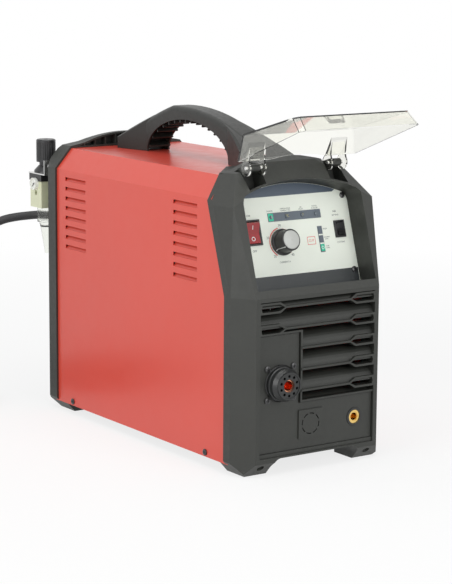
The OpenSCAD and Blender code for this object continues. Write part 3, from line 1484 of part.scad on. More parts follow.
module air_valve() place() color("#3c4146") translate([motor_x, valve_y, floor_z]) difference() {
    union() {
        translate([-14, -16, 0]) cube([28, 32, 34]);
        translate([0, 0, 34]) cylinder(r = 12, h = 30, $fn = 48);
        translate([-12, -13, 38]) cube([24, 26, 22]);
    }
    translate([0, 0, 52]) cylinder(r = 4, h = 20, $fn = 32);
}

hose_r = 4;

// A quarter bend of hose in the (y, z) plane, from straight up to straight back
module hose_bend(r) rotate([90, 0, 90]) rotate_extrude(angle = 90, $fn = 64)
    translate([r, 0]) circle(r = hose_r - 0.1, $fn = 32);

module air_hose() place() color("#2a4f86") {
    y0 = head_y;
    z0 = motor_z + 84;
    z1 = floor_z + 52;
    bend = 22;
    top = z0 + 14;
    translate([motor_x, y0, z0]) cylinder(r = hose_r - 0.1, h = top - z0, $fn = 32);
    translate([motor_x, y0 + bend, top]) mirror([0, 1, 0]) hose_bend(bend);
    translate([motor_x, y0 + bend, top + bend]) rotate([-90, 0, 0])
        cylinder(r = hose_r - 0.1, h = valve_y - y0 - 2 * bend, $fn = 32);
    translate([motor_x, valve_y - bend, top]) hose_bend(bend);
    translate([motor_x, valve_y, z1]) cylinder(r = hose_r - 0.1, h = top - z1, $fn = 32);
}

// -- what is built

front_bezel();
rear_bezel();
case_cover();
base_plate();
rear_panel();
carry_handle();
connector_plate();
control_plate();
panel_screws();
led_window();
indicator_leds();
level_display();
power_switch_body();
power_rocker();
mode_switch_body();
mode_rocker();
current_pot();
pot_shaft();
current_knob();
knob_cap();
clear_lid();
lid_pins();
torch_socket_body();
torch_socket_insert();
torch_contact();
socket_screws();
earth_socket_body();
earth_contact();
case_screws();
foot_screws();
fan_frame();
fan_rotor();
fan_guard();
guard_screws();
regulator_bracket();
regulator_knob();
regulator_bonnet();
regulator_body();
air_nipple();
filter_bowl();
pressure_gauge();
gauge_needle();
cable_gland();
mains_cord();
cord_coil();
mains_plug();
partition();
heatsink();
power_board();
capacitors();
transformer_core();
transformer_winding();
compressor_motor();
compressor_head();
compressor_flywheel();
air_valve();
air_hose();
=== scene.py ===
"""Looks of a plasma cutter unit: finishes, printing, small trim, mains lead and studio."""

import json
import logging
import math
from dataclasses import dataclass
from enum import Enum
from typing import Sequence

import bmesh
import bpy
from mathutils import Matrix, Vector

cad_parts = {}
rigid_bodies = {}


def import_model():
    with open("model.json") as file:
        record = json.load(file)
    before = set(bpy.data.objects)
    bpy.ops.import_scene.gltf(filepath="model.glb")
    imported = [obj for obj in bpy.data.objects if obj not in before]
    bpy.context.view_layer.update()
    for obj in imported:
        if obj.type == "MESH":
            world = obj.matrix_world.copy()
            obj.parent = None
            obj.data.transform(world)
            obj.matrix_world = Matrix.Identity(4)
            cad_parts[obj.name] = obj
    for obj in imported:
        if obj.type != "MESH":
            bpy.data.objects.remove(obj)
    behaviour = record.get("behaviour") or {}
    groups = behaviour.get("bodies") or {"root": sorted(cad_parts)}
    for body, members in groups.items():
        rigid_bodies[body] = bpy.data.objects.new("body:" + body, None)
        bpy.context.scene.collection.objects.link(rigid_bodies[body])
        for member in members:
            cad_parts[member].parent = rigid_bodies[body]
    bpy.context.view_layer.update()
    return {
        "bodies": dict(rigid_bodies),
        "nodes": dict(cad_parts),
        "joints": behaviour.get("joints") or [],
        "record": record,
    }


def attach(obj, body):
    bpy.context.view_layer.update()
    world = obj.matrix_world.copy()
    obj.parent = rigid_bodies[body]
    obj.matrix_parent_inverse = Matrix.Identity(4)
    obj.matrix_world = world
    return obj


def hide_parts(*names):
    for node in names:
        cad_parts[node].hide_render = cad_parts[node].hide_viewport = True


log = logging.getLogger("plasma_cutter")

MM = 0.001
FRONT_Y = -213 * MM  # the front bezel's face in the row frame
SUNK = -0.02  # printing starts this far under the surface that it stands on, in millimetres

Colour = tuple[float, float, float]
Point = tuple[float, float]
Socket = bpy.types.NodeSocket


# ------------------------------------------------------------------ finishes


class Shader:
    """One material's node tree, with short ways to add to it."""

    def __init__(self, name: str) -> None:
        """Starts a material with a plain Principled shader.

        Args:
            name: The material's name.
        """
        self.material = bpy.data.materials.new(name)
        self.material.use_nodes = True
        self.tree = self.material.node_tree
        self.surface = self.tree.nodes["Principled BSDF"]
        self.place = self.tree.nodes.new("ShaderNodeTexCoord").outputs["Object"]

    def link(self, source: Socket, target: Socket) -> None:
        """Joins two sockets."""
        self.tree.links.new(source, target)

    def stretched(self, scale: Sequence[float]) -> Socket:
        """Gives the object's coordinates, scaled along each axis."""
        mapping = self.tree.nodes.new("ShaderNodeMapping")
        mapping.inputs["Scale"].default_value = tuple(scale)
        self.link(self.place, mapping.inputs["Vector"])
        return mapping.outputs["Vector"]

    def noise(self, scale: float, detail: float = 2, where: Socket | None = None) -> Socket:
        """Adds a noise texture.

        Args:
            scale: Features in each metre.
            detail: Octaves of finer noise.
            where: Coordinates, or None for the object's own.

        Returns:
            The noise's value.
        """
        node = self.tree.nodes.new("ShaderNodeTexNoise")
        node.inputs["Scale"].default_value = scale
        node.inputs["Detail"].default_value = detail
        self.link(where or self.place, node.inputs["Vector"])
        return node.outputs["Fac"]

    def spread(self, value: Socket, low: float, high: float) -> Socket:
        """Maps the middle of a noise's range to the range from low to high."""
        node = self.tree.nodes.new("ShaderNodeMapRange")
        node.inputs["From Min"].default_value = 0.3
        node.inputs["From Max"].default_value = 0.7
        node.inputs["To Min"].default_value = low
        node.inputs["To Max"].default_value = high
        self.link(value, node.inputs["Value"])
        return node.outputs["Result"]

    def tint(self, value: Socket, first: Colour, second: Colour) -> None:
        """Colours the surface between two colours by a value from 0 to 1."""
        node = self.tree.nodes.new("ShaderNodeMix")
        node.data_type = "RGBA"
        node.inputs["A"].default_value = (*first, 1)
        node.inputs["B"].default_value = (*second, 1)
        self.link(value, node.inputs["Factor"])
        self.link(node.outputs["Result"], self.surface.inputs["Base Color"])

    def bump(self, height: Socket, strength: float, depth: float) -> None:
        """Adds relief to the surface, over any that it has.

        Args:
            height: The relief's value.
            strength: How much of it shows, from 0 to 1.
            depth: Its real depth in metres.
        """
        node = self.tree.nodes.new("ShaderNodeBump")
        node.inputs["Strength"].default_value = strength
        node.inputs["Distance"].default_value = depth
        self.link(height, node.inputs["Height"])
        target = self.surface.inputs["Normal"]
        if target.is_linked:
            self.link(target.links[0].from_socket, node.inputs["Normal"])
        self.link(node.outputs["Normal"], target)


def shade(colour: Colour, share: float) -> Colour:
    """Makes a colour lighter or darker by a share of itself."""
    return tuple(min(1.0, c * share) for c in colour)


@dataclass(frozen=True)
class Finish:
    """A surface: its colour, how rough it is, and how both vary."""

    name: str
    colour: Colour
    roughness: float = 0.5
    mottle: float = 0.05
    mottle_scale: float = 40
    grain: float = 0.15
    grain_scale: float = 900
    grain_depth: float = 0.00015

    def material(self) -> bpy.types.Material:
        """Makes the finish's material, or finds the one made before."""
        title = self.name + "_finish"
        made = bpy.data.materials.get(title)
        if made:
            return made
        shader = Shader(title)
        self.dress(shader)
        return shader.material

    def dress(self, shader: Shader) -> None:
        """Adds the finish's nodes.

        Args:
            shader: The tree that they go into.
        """
        cloud = shader.spread(shader.noise(self.mottle_scale, 4), 0, 1)
        shader.tint(cloud, shade(self.colour, 1 - self.mottle), shade(self.colour, 1 + self.mottle))
        rough = shader.noise(self.grain_scale / 6, 3)
        low, high = self.roughness * 0.88, min(1.0, self.roughness * 1.12)
        shader.link(shader.spread(rough, low, high), shader.surface.inputs["Roughness"])
        shader.bump(shader.noise(self.grain_scale, 3), self.grain, self.grain_depth)


@dataclass(frozen=True)
class Moulding(Finish):
    """Spark-eroded plastic: a fine, even grain over slow waves from the mould."""

    def dress(self, shader: Shader) -> None:
        """Adds the slow waves to the plain finish."""
        super().dress(shader)
        shader.bump(shader.noise(55, 1), 0.12, 0.0006)


@dataclass(frozen=True)
class PowderCoat(Finish):
    """Baked powder paint: a smooth coat with a faint orange peel."""

    coat: float = 0.35
    shine: float = 0.5

    def dress(self, shader: Shader) -> None:
        """Adds the clear top of the paint."""
        super().dress(shader)
        shader.surface.inputs["Specular IOR Level"].default_value = self.shine
        shader.surface.inputs["Coat Weight"].default_value = self.coat
        shader.surface.inputs["Coat Roughness"].default_value = 0.16


@dataclass(frozen=True)
class Clear(Finish):
    """Clear plastic: tinted a little by its thickness, with faint haze."""

    haze: float = 0.02

    def dress(self, shader: Shader) -> None:
        """Makes the surface let light through."""
        surface = shader.surface
        surface.inputs["Transmission Weight"].default_value = 1
        surface.inputs["IOR"].default_value = 1.49
        cloud = shader.spread(shader.noise(self.mottle_scale, 2), 0, 1)
        shader.tint(cloud, shade(self.colour, 1 - self.mottle), self.colour)
        smear = shader.spread(shader.noise(30, 3), self.haze * 0.5, self.haze * 2)
        shader.link(smear, surface.inputs["Roughness"])
        shader.bump(shader.noise(self.grain_scale, 1), self.grain, self.grain_depth)


@dataclass(frozen=True)
class Metal(Finish):
    """Bare metal, brushed or turned along one axis."""

    brush: tuple[float, float, float] = (1, 1, 1)

    def dress(self, shader: Shader) -> None:
        """Adds the metal's shine and its fine scratches."""
        shader.surface.inputs["Metallic"].default_value = 1
        super().dress(shader)
        scratches = shader.noise(1, 3, shader.stretched([700 * b for b in self.brush]))
        shader.bump(scratches, 0.12, 0.0001)


@dataclass(frozen=True)
class Lamp(Finish):
    """A lit lens: it glows from within."""

    glow: float = 1

    def dress(self, shader: Shader) -> None:
        """Adds the glow to the plain finish."""
        super().dress(shader)
        surface = shader.surface
        surface.inputs["Emission Color"].default_value = (*self.colour, 1)
        surface.inputs["Emission Strength"].default_value = self.glow
        surface.inputs["Coat Weight"].default_value = 0.6


BEZEL = Moulding("bezel_plastic", (0.026, 0.0275, 0.0235), 0.5, 0.07, 25, 0.22, 1100, 0.0002)
HANDLE = Moulding("handle_plastic", (0.014, 0.0148, 0.0125), 0.44, 0.07, 25, 0.22, 1100, 0.0002)
SOCKET_BLACK = Moulding("socket_plastic", (0.018, 0.019, 0.019), 0.38, 0.06, 60, 0.12, 1400)
DEEP_BLACK = Moulding("black_plastic", (0.016, 0.016, 0.017), 0.34, 0.06, 60, 0.08, 1500)
RED_COAT = PowderCoat("red_coat", (0.64, 0.066, 0.042), 0.34, 0.02, 6, 0.04, 420, 0.0003, 0.15, 0.5)
BLACK_COAT = PowderCoat("black_coat", (0.022, 0.022, 0.023), 0.42, 0.06, 30, 0.1, 600)
PANEL_WHITE = Finish("panel_white", (0.86, 0.90, 0.81), 0.42, 0.012, 30, 0.05, 1500)
PANEL_DARK = Finish("panel_charcoal", (0.035, 0.040, 0.042), 0.42, 0.04, 50, 0.05, 1500)
PANEL_SLATE = Finish("panel_slate", (0.075, 0.10, 0.135), 0.42, 0.04, 50, 0.05, 1500)
INK = Finish("ink_grey", (0.10, 0.11, 0.12), 0.5, 0.05, 200, 0.02, 1500)
INK_RED = Finish("ink_red", (0.68, 0.07, 0.05), 0.5, 0.05, 200, 0.02, 1500)
INK_WHITE = Finish("ink_white", (0.85, 0.87, 0.85), 0.45, 0.02, 200, 0.02, 1500)
INK_AMBER = Finish("ink_amber", (0.50, 0.42, 0.16), 0.5, 0.05, 200, 0.02, 1500)
FILM = PowderCoat("display_film", (0.10, 0.125, 0.155), 0.34, 0.04, 80, 0.03, 900)
LIT_GREEN = Lamp("lit_green", (0.02, 0.40, 0.25), 0.25, 0.12, 300, 0.03, 900, glow=0.25)
DIM_LENS = Lamp("dim_lens", (0.13, 0.16, 0.19), 0.3, 0.1, 300, 0.03, 900, glow=0.0)
ROCKER_RED = PowderCoat("rocker_red", (0.34, 0.008, 0.012), 0.2, 0.05, 120, 0.03, 900, coat=0.5)
CAP_GREY = Metal("cap_satin", (0.40, 0.41, 0.39), 0.4, 0.02, 60, 0.03, 900, brush=(1, 1, 1))
LID_CLEAR = Clear("lid_clear", (0.955, 0.955, 0.905), 0.02, 0.01, 20, 0.02, 60, 0.0004)
BOWL_CLEAR = Clear("bowl_clear", (0.90, 0.92, 0.86), 0.1, 0.02, 40, 0.03, 80, 0.0003, haze=0.12)
ZINC = Metal("zinc_plate", (0.62, 0.63, 0.62), 0.3, 0.06, 120, 0.05, 900)
BRIGHT = Metal("bright_steel", (0.70, 0.70, 0.69), 0.22, 0.04, 120, 0.04, 900)
BRASS = Metal("turned_brass", (0.80, 0.56, 0.20), 0.2, 0.05, 120, 0.04, 900, brush=(4, 1, 4))
COPPER = Metal("turned_copper", (0.80, 0.34, 0.20), 0.22, 0.08, 120, 0.04, 900, brush=(4, 1, 4))
CREAM = PowderCoat("regulator_enamel", (0.66, 0.68, 0.47), 0.34, 0.04, 60, 0.06, 500)
# Painted shade: this dark olive copies how the brass air nipple looks in shadow; it is not the
# fitting's own colour.
OLIVE_PAINTED_SHADE = PowderCoat("olive_fitting", (0.12, 0.125, 0.06), 0.4, 0.08, 90, 0.08, 500)
DIAL_WHITE = Finish("dial_white", (0.84, 0.85, 0.80), 0.4, 0.02, 90, 0.02, 900)
SHEATH = Finish("cord_sheath", (0.020, 0.020, 0.021), 0.5, 0.12, 90, 0.25, 700, 0.0002)
CAST = Metal("cast_aluminium", (0.55, 0.56, 0.57), 0.5, 0.08, 90, 0.3, 500, 0.0003)
BOARD = PowderCoat("board_green", (0.03, 0.16, 0.06), 0.35, 0.1, 90, 0.05, 600)
SLEEVE = PowderCoat("capacitor_sleeve", (0.03, 0.05, 0.16), 0.3, 0.05, 90, 0.03, 600)
LAMINATION = Metal("core_lamination", (0.12, 0.12, 0.125), 0.5, 0.1, 90, 0.2, 600,
                   brush=(0.05, 4, 0.05))
ENAMEL_WIRE = Metal("enamelled_wire", (0.55, 0.25, 0.07), 0.35, 0.1, 90, 0.2, 500,
                    brush=(0.1, 0.1, 3))
HOSE_BLUE = Finish("hose_blue", (0.03, 0.09, 0.28), 0.35, 0.06, 90, 0.1, 700)


# ------------------------------------------------------------------ shapes


def mesh_object(name: str, verts: Sequence[Vector], faces: Sequence[Sequence[int]],
                finish: Finish) -> bpy.types.Object:
    """Makes a mesh object with its faces turned outwards.

    Args:
        name: The piece's name.
        verts: Corners in metres, in the row frame.
        faces: Corner numbers of each face.
        finish: The piece's finish.

    Returns:
        The object, linked to the scene.
    """
    mesh = bpy.data.meshes.new(name)
    mesh.from_pydata([tuple(v) for v in verts], [], [tuple(f) for f in faces])
    shape = bmesh.new()
    shape.from_mesh(mesh)
    bmesh.ops.recalc_face_normals(shape, faces=shape.faces)
    shape.to_mesh(mesh)
    shape.free()
    mesh.materials.append(finish.material())
    piece = bpy.data.objects.new(name, mesh)
    bpy.context.scene.collection.objects.link(piece)
    return piece


class Solids:
    """Gathers several closed solids into one mesh."""

    def __init__(self) -> None:
        """Starts with no solid."""
        self.verts: list[Vector] = []
        self.faces: list[list[int]] = []

    def prism(self, frame: Matrix, outline: Sequence[Point], low: float, high: float) -> None:
        """Adds a flat shape drawn out between two heights.

        Args:
            frame: Where the shape's own x, y and z lie in the row frame.
            outline: Its corners, in millimetres.
            low: Height of its base, in millimetres.
            high: Height of its top, in millimetres.
        """
        n = len(outline)
        base = len(self.verts)
        for z in (low, high):
            self.verts += [frame @ Vector((x * MM, y * MM, z * MM)) for x, y in outline]
        self.faces.append([base + i for i in reversed(range(n))])
        self.faces.append([base + n + i for i in range(n)])
        for i in range(n):
            j = (i + 1) % n
            self.faces.append([base + i, base + j, base + n + j, base + n + i])

    def band(self, frame: Matrix, outer: Sequence[Point], inner: Sequence[Point],
             low: float, high: float) -> None:
        """Adds a flat frame between two outlines with as many corners each.

        Args:
            frame: Where the shape's own x, y and z lie in the row frame.
            outer: Its outer corners, in millimetres.
            inner: Its inner corners, in the same order.
            low: Height of its base, in millimetres.
            high: Height of its top, in millimetres.
        """
        n = len(outer)
        base = len(self.verts)
        for z in (low, high):
            for outline in (outer, inner):
                self.verts += [frame @ Vector((x * MM, y * MM, z * MM)) for x, y in outline]
        for i in range(n):
            j = (i + 1) % n
            for a, b in ((0, n), (n, 3 * n), (3 * n, 2 * n), (2 * n, 0)):
                self.faces.append([base + a + i, base + a + j, base + b + j, base + b + i])

    def piece(self, name: str, finish: Finish) -> bpy.types.Object:
        """Makes the piece that holds all the solids."""
        return mesh_object(name, self.verts, self.faces, finish)


def rectangle(x: float, y: float, width: float, height: float) -> list[Point]:
    """Gives the corners of a rectangle about its centre."""
    w, h = width / 2, height / 2
    return [(x - w, y - h), (x + w, y - h), (x + w, y + h), (x - w, y + h)]


def circle(x: float, y: float, radius: float, sides: int = 40) -> list[Point]:
    """Gives the corners of a fine polygon round a centre."""
    turns = [2 * math.pi * i / sides for i in range(sides)]
    return [(x + radius * math.cos(a), y + radius * math.sin(a)) for a in turns]


@dataclass(frozen=True)
class Label:
    """A short printed word or number: where it stands and how high it is, in millimetres."""

    text: str
    x: float
    y: float
    height: float
    angle: float = 0


def lettering(name: str, frame: Matrix, labels: Sequence[Label], finish: Finish,
              lift: float = 0.05) -> bpy.types.Object:
    """Prints labels on a plane as one thin raised mesh.

    Args:
        name: The piece's name.
        frame: Where the plane's own x, y and z lie in the row frame.
        labels: What is printed.
        finish: The ink.
        lift: Thickness of the ink, in millimetres.

    Returns:
        The joined mesh.
    """
    shape = bmesh.new()
    for label in labels:
        curve = bpy.data.curves.new(name + "_type", "FONT")
        curve.body = label.text
        curve.align_x = curve.align_y = "CENTER"
        curve.size = label.height * MM * 1.4
        curve.extrude = lift * MM
        curve.resolution_u = 3
        typed = bpy.data.objects.new(name + "_type", curve)
        bpy.context.scene.collection.objects.link(typed)
        bpy.context.view_layer.update()
        whole = typed.evaluated_get(bpy.context.evaluated_depsgraph_get())
        mesh = bpy.data.meshes.new_from_object(whole)
        turn = Matrix.Rotation(math.radians(label.angle), 4, "Z")
        mesh.transform(frame @ Matrix.Translation((label.x * MM, label.y * MM, lift * MM)) @ turn)
        shape.from_mesh(mesh)
        bpy.data.objects.remove(typed)
        bpy.data.meshes.remove(mesh)
        bpy.data.curves.remove(curve)
    mesh = bpy.data.meshes.new(name)
    shape.to_mesh(mesh)
    shape.free()
    mesh.materials.append(finish.material())
    piece = bpy.data.objects.new(name, mesh)
    bpy.context.scene.collection.objects.link(piece)
    return piece


def set_down(piece: bpy.types.Object, body: str) -> bpy.types.Object:
    """Makes a piece ride on a body.

    Args:
        piece: The new piece, in place.
        body: The body that carries it.

    Returns:
        The same piece.
    """
    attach(piece, body)
    log.info("%s rides on %s", piece.name, body)
    return piece


# ------------------------------------------------------------------ the unit's parts


@dataclass
class Assembly:
    """A sub-assembly: CAD nodes that get a finish, and pieces of its own."""

    nodes: dict[str, bpy.types.Object]

    def finishes(self) -> dict[str, Finish]:
        """Gives the finish of each CAD node in the sub-assembly."""
        return {}

    def build(self) -> None:
        """Adds the pieces that the CAD nodes don't have."""

    def make(self) -> None:
        """Dresses the nodes and builds the pieces."""
        for node, finish in self.finishes().items():
            mesh = self.nodes[node].data
            mesh.materials.clear()
            mesh.materials.append(finish.material())
            log.info("%s wears %s", node, finish.name)
        self.build()


@dataclass
class Housing(Assembly):
    """Bezels, cover, base, handle and what holds them together."""

    def finishes(self) -> dict[str, Finish]:
        """Gives the housing's finishes."""
        return {
            "front_bezel": BEZEL, "rear_bezel": BEZEL, "carry_handle": HANDLE,
            "case_cover": RED_COAT, "base_plate": BLACK_COAT, "rear_panel": BLACK_COAT,
            "case_screws": BLACK_COAT, "foot_screws": ZINC, "partition": ZINC,
        }


@dataclass
class Panel(Assembly):
    """The control panel: printed plate, lamps, switches and the current dial."""

    slope: float = 17.1
    slope_z: float = 214
    plate_w: float = -30
    band_top: float = 28
    band_foot: float = 9.6
    slate_foot: float = 123
    half_w: float = 86.7
    hood_v: float = 138
    hood_r: float = 215
    corner: float = 13
    slate_left: float = -78
    slate_right: float = 70
    dial: Point = (-20, 67)
    number_r: float = 20.5
    numbers: tuple[tuple[str, float], ...] = (
        ("20", 231), ("25", 160.5), ("30", 90), ("35", 19.5), ("40", -51))
    tick_step: int = 14
    tick_r: Point = (16.8, 18)
    sweep_r: Point = (17, 18.2)
    sweep: Point = (100, 238)
    pointer_angle: float = 218
    icon: Point = (23.5, 65.7)
    led_x: tuple[float, ...] = (-30.7, -7.8, 15.3, 35.7)
    led_v: float = 97.8
    sign_w: float = 2.9
    level_x: float = 38.2
    level_low_v: float = 55.8
    level_gap_v: Point = (71.7, 61.1)
    rocker: Point = (-61.5, 81.4)
    rocker_tilt: float = 9
    rocker_half: float = 14.3
    rocker_fall: float = 3.6

    def plate(self, x: float = 0, v: float = 0, w: float = 0) -> Matrix:
        """Gives the frame of a point over the plate: x right, y up the slope, z out of it."""
        a = math.radians(self.slope)
        up = Vector((0, math.sin(a), math.cos(a)))
        out = Vector((0, -math.cos(a), math.sin(a)))
        origin = Vector((0, FRONT_Y, self.slope_z * MM))
        origin += Vector((x * MM, 0, 0)) + up * v * MM + out * (self.plate_w + w) * MM
        return Matrix.LocRotScale(origin, Matrix((Vector((1, 0, 0)), up, out)).transposed(), None)

    def finishes(self) -> dict[str, Finish]:
        """Gives the panel's finishes."""
        return {
            "control_plate": PANEL_WHITE, "panel_screws": BLACK_COAT, "led_window": FILM,
            "indicator_leds": DIM_LENS, "level_display": FILM,
            "power_switch_body": DEEP_BLACK, "power_rocker": ROCKER_RED,
            "mode_switch_body": DEEP_BLACK, "mode_rocker": DEEP_BLACK,
            "current_pot": ZINC, "pot_shaft": ZINC, "current_knob": DEEP_BLACK,
            "knob_cap": CAP_GREY,
        }

    def build(self) -> None:
        """Adds the print, the lit signs and the marks on the switches and the knob."""
        self.bands()
        self.words()
        self.signs()
        self.rocker_marks()
        self.pointer()

    def hood(self, x: float, inset: float) -> float:
        """Gives the height up the slope of the hood's edge at x, less an inset."""
        turn_x, inner_r = self.half_w - self.corner, self.hood_r - self.corner
        if abs(x) <= turn_x * self.hood_r / inner_r:
            return self.hood_v - self.hood_r + math.sqrt(self.hood_r ** 2 - x * x) - inset
        turn_v = self.hood_v - self.hood_r + math.sqrt(inner_r ** 2 - turn_x ** 2)
        return turn_v + math.sqrt(self.corner ** 2 - (abs(x) - turn_x) ** 2) - inset

    def bands(self) -> None:
        """Prints the dark band below and the slate field above."""
        edge = self.half_w - 0.5
        low = Solids()
        middle = (self.band_foot + self.band_top) / 2
        strip = rectangle(0, middle, 2 * edge, self.band_top - self.band_foot)
        low.prism(self.plate(), strip, SUNK, 0.06)
        set_down(low.piece("panel_band", PANEL_DARK), "case")
        left, right, steps = self.slate_left, self.slate_right, 20
        across = [right + (left - right) * i / steps for i in range(steps + 1)]
        slate = Solids()
        outline = [(left, self.slate_foot), (right - 4, self.slate_foot)]
        outline += [(x, self.hood(x, 0.6)) for x in across]
        slate.prism(self.plate(), outline, SUNK, 0.06)
        set_down(slate.piece("panel_slate_field", PANEL_SLATE), "case")

    def words(self) -> None:
        """Prints the words and the dial's numbers, then the dial's rules and the mode's sign."""
        x0, v0 = self.dial
        power, hot, air, water = self.led_x
        numbers = []
        for text, angle in self.numbers:
            a = math.radians(angle)
            x, v = x0 + self.number_r * math.cos(a), v0 + self.number_r * math.sin(a)
            numbers.append(Label(text, x, v, 3))
        plain = numbers + [
            Label("ON", -62.5, 102, 2.6), Label("OFF", -61, 59.5, 2.6),
            Label("CURRENT A", x0, 43.2, 2.1), Label("AIR", 64.4, 98.6, 2.6),
            Label("SETTING", 65, 94, 1.8), Label("CUTTING", 67.4, 60.5, 1.9),
            Label("POWER", power, 105.4, 1.8),
            Label("OVERHEATING", hot, 107.2, 1.6), Label("TEMPERATURE", hot, 104.9, 1.6),
            Label("AIR", air, 107.2, 1.6), Label("FAULT", air, 104.9, 1.6),
            Label("WATER", water, 107.2, 1.6), Label("IN FILTER", water, 104.9, 1.6),
            Label("HIGH", 46.2, 78.4, 1.7), Label("NORMAL", 47.4, 68.2, 1.5),
            Label("LEVEL", 46.8, 65.9, 1.5), Label("LOW", 46.2, 57.4, 1.5),
            Label("LEVEL", 46.8, 55.1, 1.5),
        ]
        set_down(lettering("panel_lettering", self.plate(), plain, INK), "case")
        self.dial_rules()
        icon = Solids()
        icon.band(self.plate(), rectangle(*self.icon, 12, 9.8), rectangle(*self.icon, 10.8, 8.6),
                  SUNK, 0.07)
        set_down(icon.piece("mode_icon_frame", INK_RED), "case")
        x, v = self.icon
        word = lettering("mode_icon_word", self.plate(), [Label("CUT", x, v - 0.1, 3)], INK_RED)
        set_down(word, "case")

    def dial_rules(self) -> None:
        """Prints the ticks round the dial and the band that sweeps round its left side."""
        x0, v0 = self.dial
        near, far = self.tick_r
        half = 0.15
        rules = Solids()
        first, last = self.numbers[-1][1], self.numbers[0][1]
        for a in range(first, last + 1, self.tick_step):
            c, s = math.cos(math.radians(a)), math.sin(math.radians(a))
            tick = [(x0 + r * c - side * s, v0 + r * s + side * c)
                    for r, side in ((near, -half), (far, -half), (far, half), (near, half))]
            rules.prism(self.plate(), tick, SUNK, 0.07)
        start, end = (math.radians(x) for x in self.sweep)
        inner, outer = self.sweep_r
        steps = 36
        turns = [start + (end - start) * i / steps for i in range(steps + 1)]
        sweep = [(x0 + outer * math.cos(a), v0 + outer * math.sin(a)) for a in turns]
        sweep += [(x0 + inner * math.cos(a), v0 + inner * math.sin(a)) for a in reversed(turns)]
        rules.prism(self.plate(), sweep, SUNK, 0.06)
        set_down(rules.piece("dial_ticks", INK_RED), "case")

    def signs(self) -> None:
        """Adds the lit patches and the signs over the lamps."""
        green = Solids()
        green.prism(self.plate(), rectangle(self.led_x[0] - 0.2, self.led_v, 7.4, 9.2), 0.7, 0.86)
        x, v = self.level_x, self.level_low_v
        green.prism(self.plate(), rectangle(x, v, 5.7, 8.6), 0.9, 1.08)
        set_down(green.piece("lit_patches", LIT_GREEN), "case")
        ring = Solids()
        ring.band(self.plate(), circle(x, v, 2), circle(x, v, 1.4), 1, 1.15)
        set_down(ring.piece("level_sign", INK_WHITE), "case")
        gaps = Solids()
        for v in self.level_gap_v:
            gaps.prism(self.plate(), rectangle(x, v, 5.8, 1.7), 0.48, 0.6)
        set_down(gaps.piece("level_gaps", PANEL_WHITE), "case")
        power, hot, air, _ = self.led_x
        over = self.plate(w=self.sign_w)
        signs = [Label("I", power, self.led_v, 3.2)]
        set_down(lettering("lamp_sign_lit", over, signs, INK_WHITE), "case")
        signs = [Label("°C", hot, self.led_v, 3.2), Label("!", air, self.led_v, 3.4)]
        set_down(lettering("lamp_signs", over, signs, INK_AMBER), "case")

    def rocker_marks(self) -> None:
        """Marks the power rocker with a bar and a ring, on its two sloping halves."""
        tilt = Matrix.Rotation(math.radians(self.rocker_tilt), 4, "X")
        pivot = self.plate(*self.rocker, -1) @ tilt
        vee = math.atan2(self.rocker_fall, self.rocker_half)
        bar = Solids()
        upper = pivot @ Matrix.Translation((0, 0, 2.6 * MM)) @ Matrix.Rotation(vee, 4, "X")
        lower = pivot @ Matrix.Translation((0, 0, 2.6 * MM)) @ Matrix.Rotation(-vee, 4, "X")
        bar.prism(upper, rectangle(0, 7, 1, 5), SUNK, 0.1)
        bar.band(lower, circle(0, -7, 2.6), circle(0, -7, 1.8), SUNK, 0.1)
        set_down(bar.piece("rocker_marks", INK_WHITE), "power_rocker")

    def pointer(self) -> None:
        """Fills the knob's pointer groove with a white line."""
        turn = Matrix.Rotation(math.radians(self.pointer_angle), 4, "Z")
        frame = self.plate(*self.dial) @ turn
        line = Solids()
        line.prism(frame, rectangle(12.9, 0, 0.5, 0.9), 4.6, 19.5)
        line.prism(frame, rectangle(14.2, 0, 3, 0.9), 2.95, 4.2)
        set_down(line.piece("knob_pointer", INK_WHITE), "current_dial")


@dataclass
class Sockets(Assembly):
    """The connector plate with the torch socket and the work lead socket."""

    def finishes(self) -> dict[str, Finish]:
        """Gives the sockets' finishes."""
        return {
            "connector_plate": BEZEL, "torch_socket_body": SOCKET_BLACK,
            "torch_socket_insert": SOCKET_BLACK, "torch_contact": COPPER,
            "socket_screws": BLACK_COAT, "earth_socket_body": SOCKET_BLACK,
            "earth_contact": BRASS,
        }


@dataclass
class Lid(Assembly):
    """The clear lid on its pins."""

    def finishes(self) -> dict[str, Finish]:
        """Gives the lid's finishes."""
        return {"clear_lid": LID_CLEAR, "lid_pins": BRIGHT}


@dataclass
class AirSide(Assembly):
    """The filter regulator, its gauge and its bowl, and the fan beside them."""

    def finishes(self) -> dict[str, Finish]:
        """Gives the finishes of the regulator and the fan."""
        return {
            "regulator_bracket": BRIGHT, "regulator_knob": DEEP_BLACK,
            # The air nipple wears painted shade: a dark olive for a brass fitting seen in shadow.
            "regulator_bonnet": DEEP_BLACK, "regulator_body": CREAM, "air_nipple": OLIVE_PAINTED_SHADE,
            "filter_bowl": BOWL_CLEAR, "pressure_gauge": DIAL_WHITE, "gauge_needle": DEEP_BLACK,
            "fan_frame": DEEP_BLACK, "fan_rotor": SOCKET_BLACK, "fan_guard": BRIGHT,
            "guard_screws": BLACK_COAT,
        }


@dataclass
class Inside(Assembly):
    """What the closed case holds."""

    def finishes(self) -> dict[str, Finish]:
        """Gives the finishes of the inner parts."""
        return {
            "heatsink": CAST, "power_board": BOARD, "capacitors": SLEEVE,
            "transformer_core": LAMINATION, "transformer_winding": ENAMEL_WIRE,
            "compressor_motor": CAST, "compressor_head": CAST,
            "compressor_flywheel": LAMINATION, "air_valve": BLACK_COAT, "air_hose": HOSE_BLUE,
        }


class Lay(Enum):
    """How the lead lies, in the words of the frame's cord call."""

    LOOSE = "loose"
    COILED = "coiled"


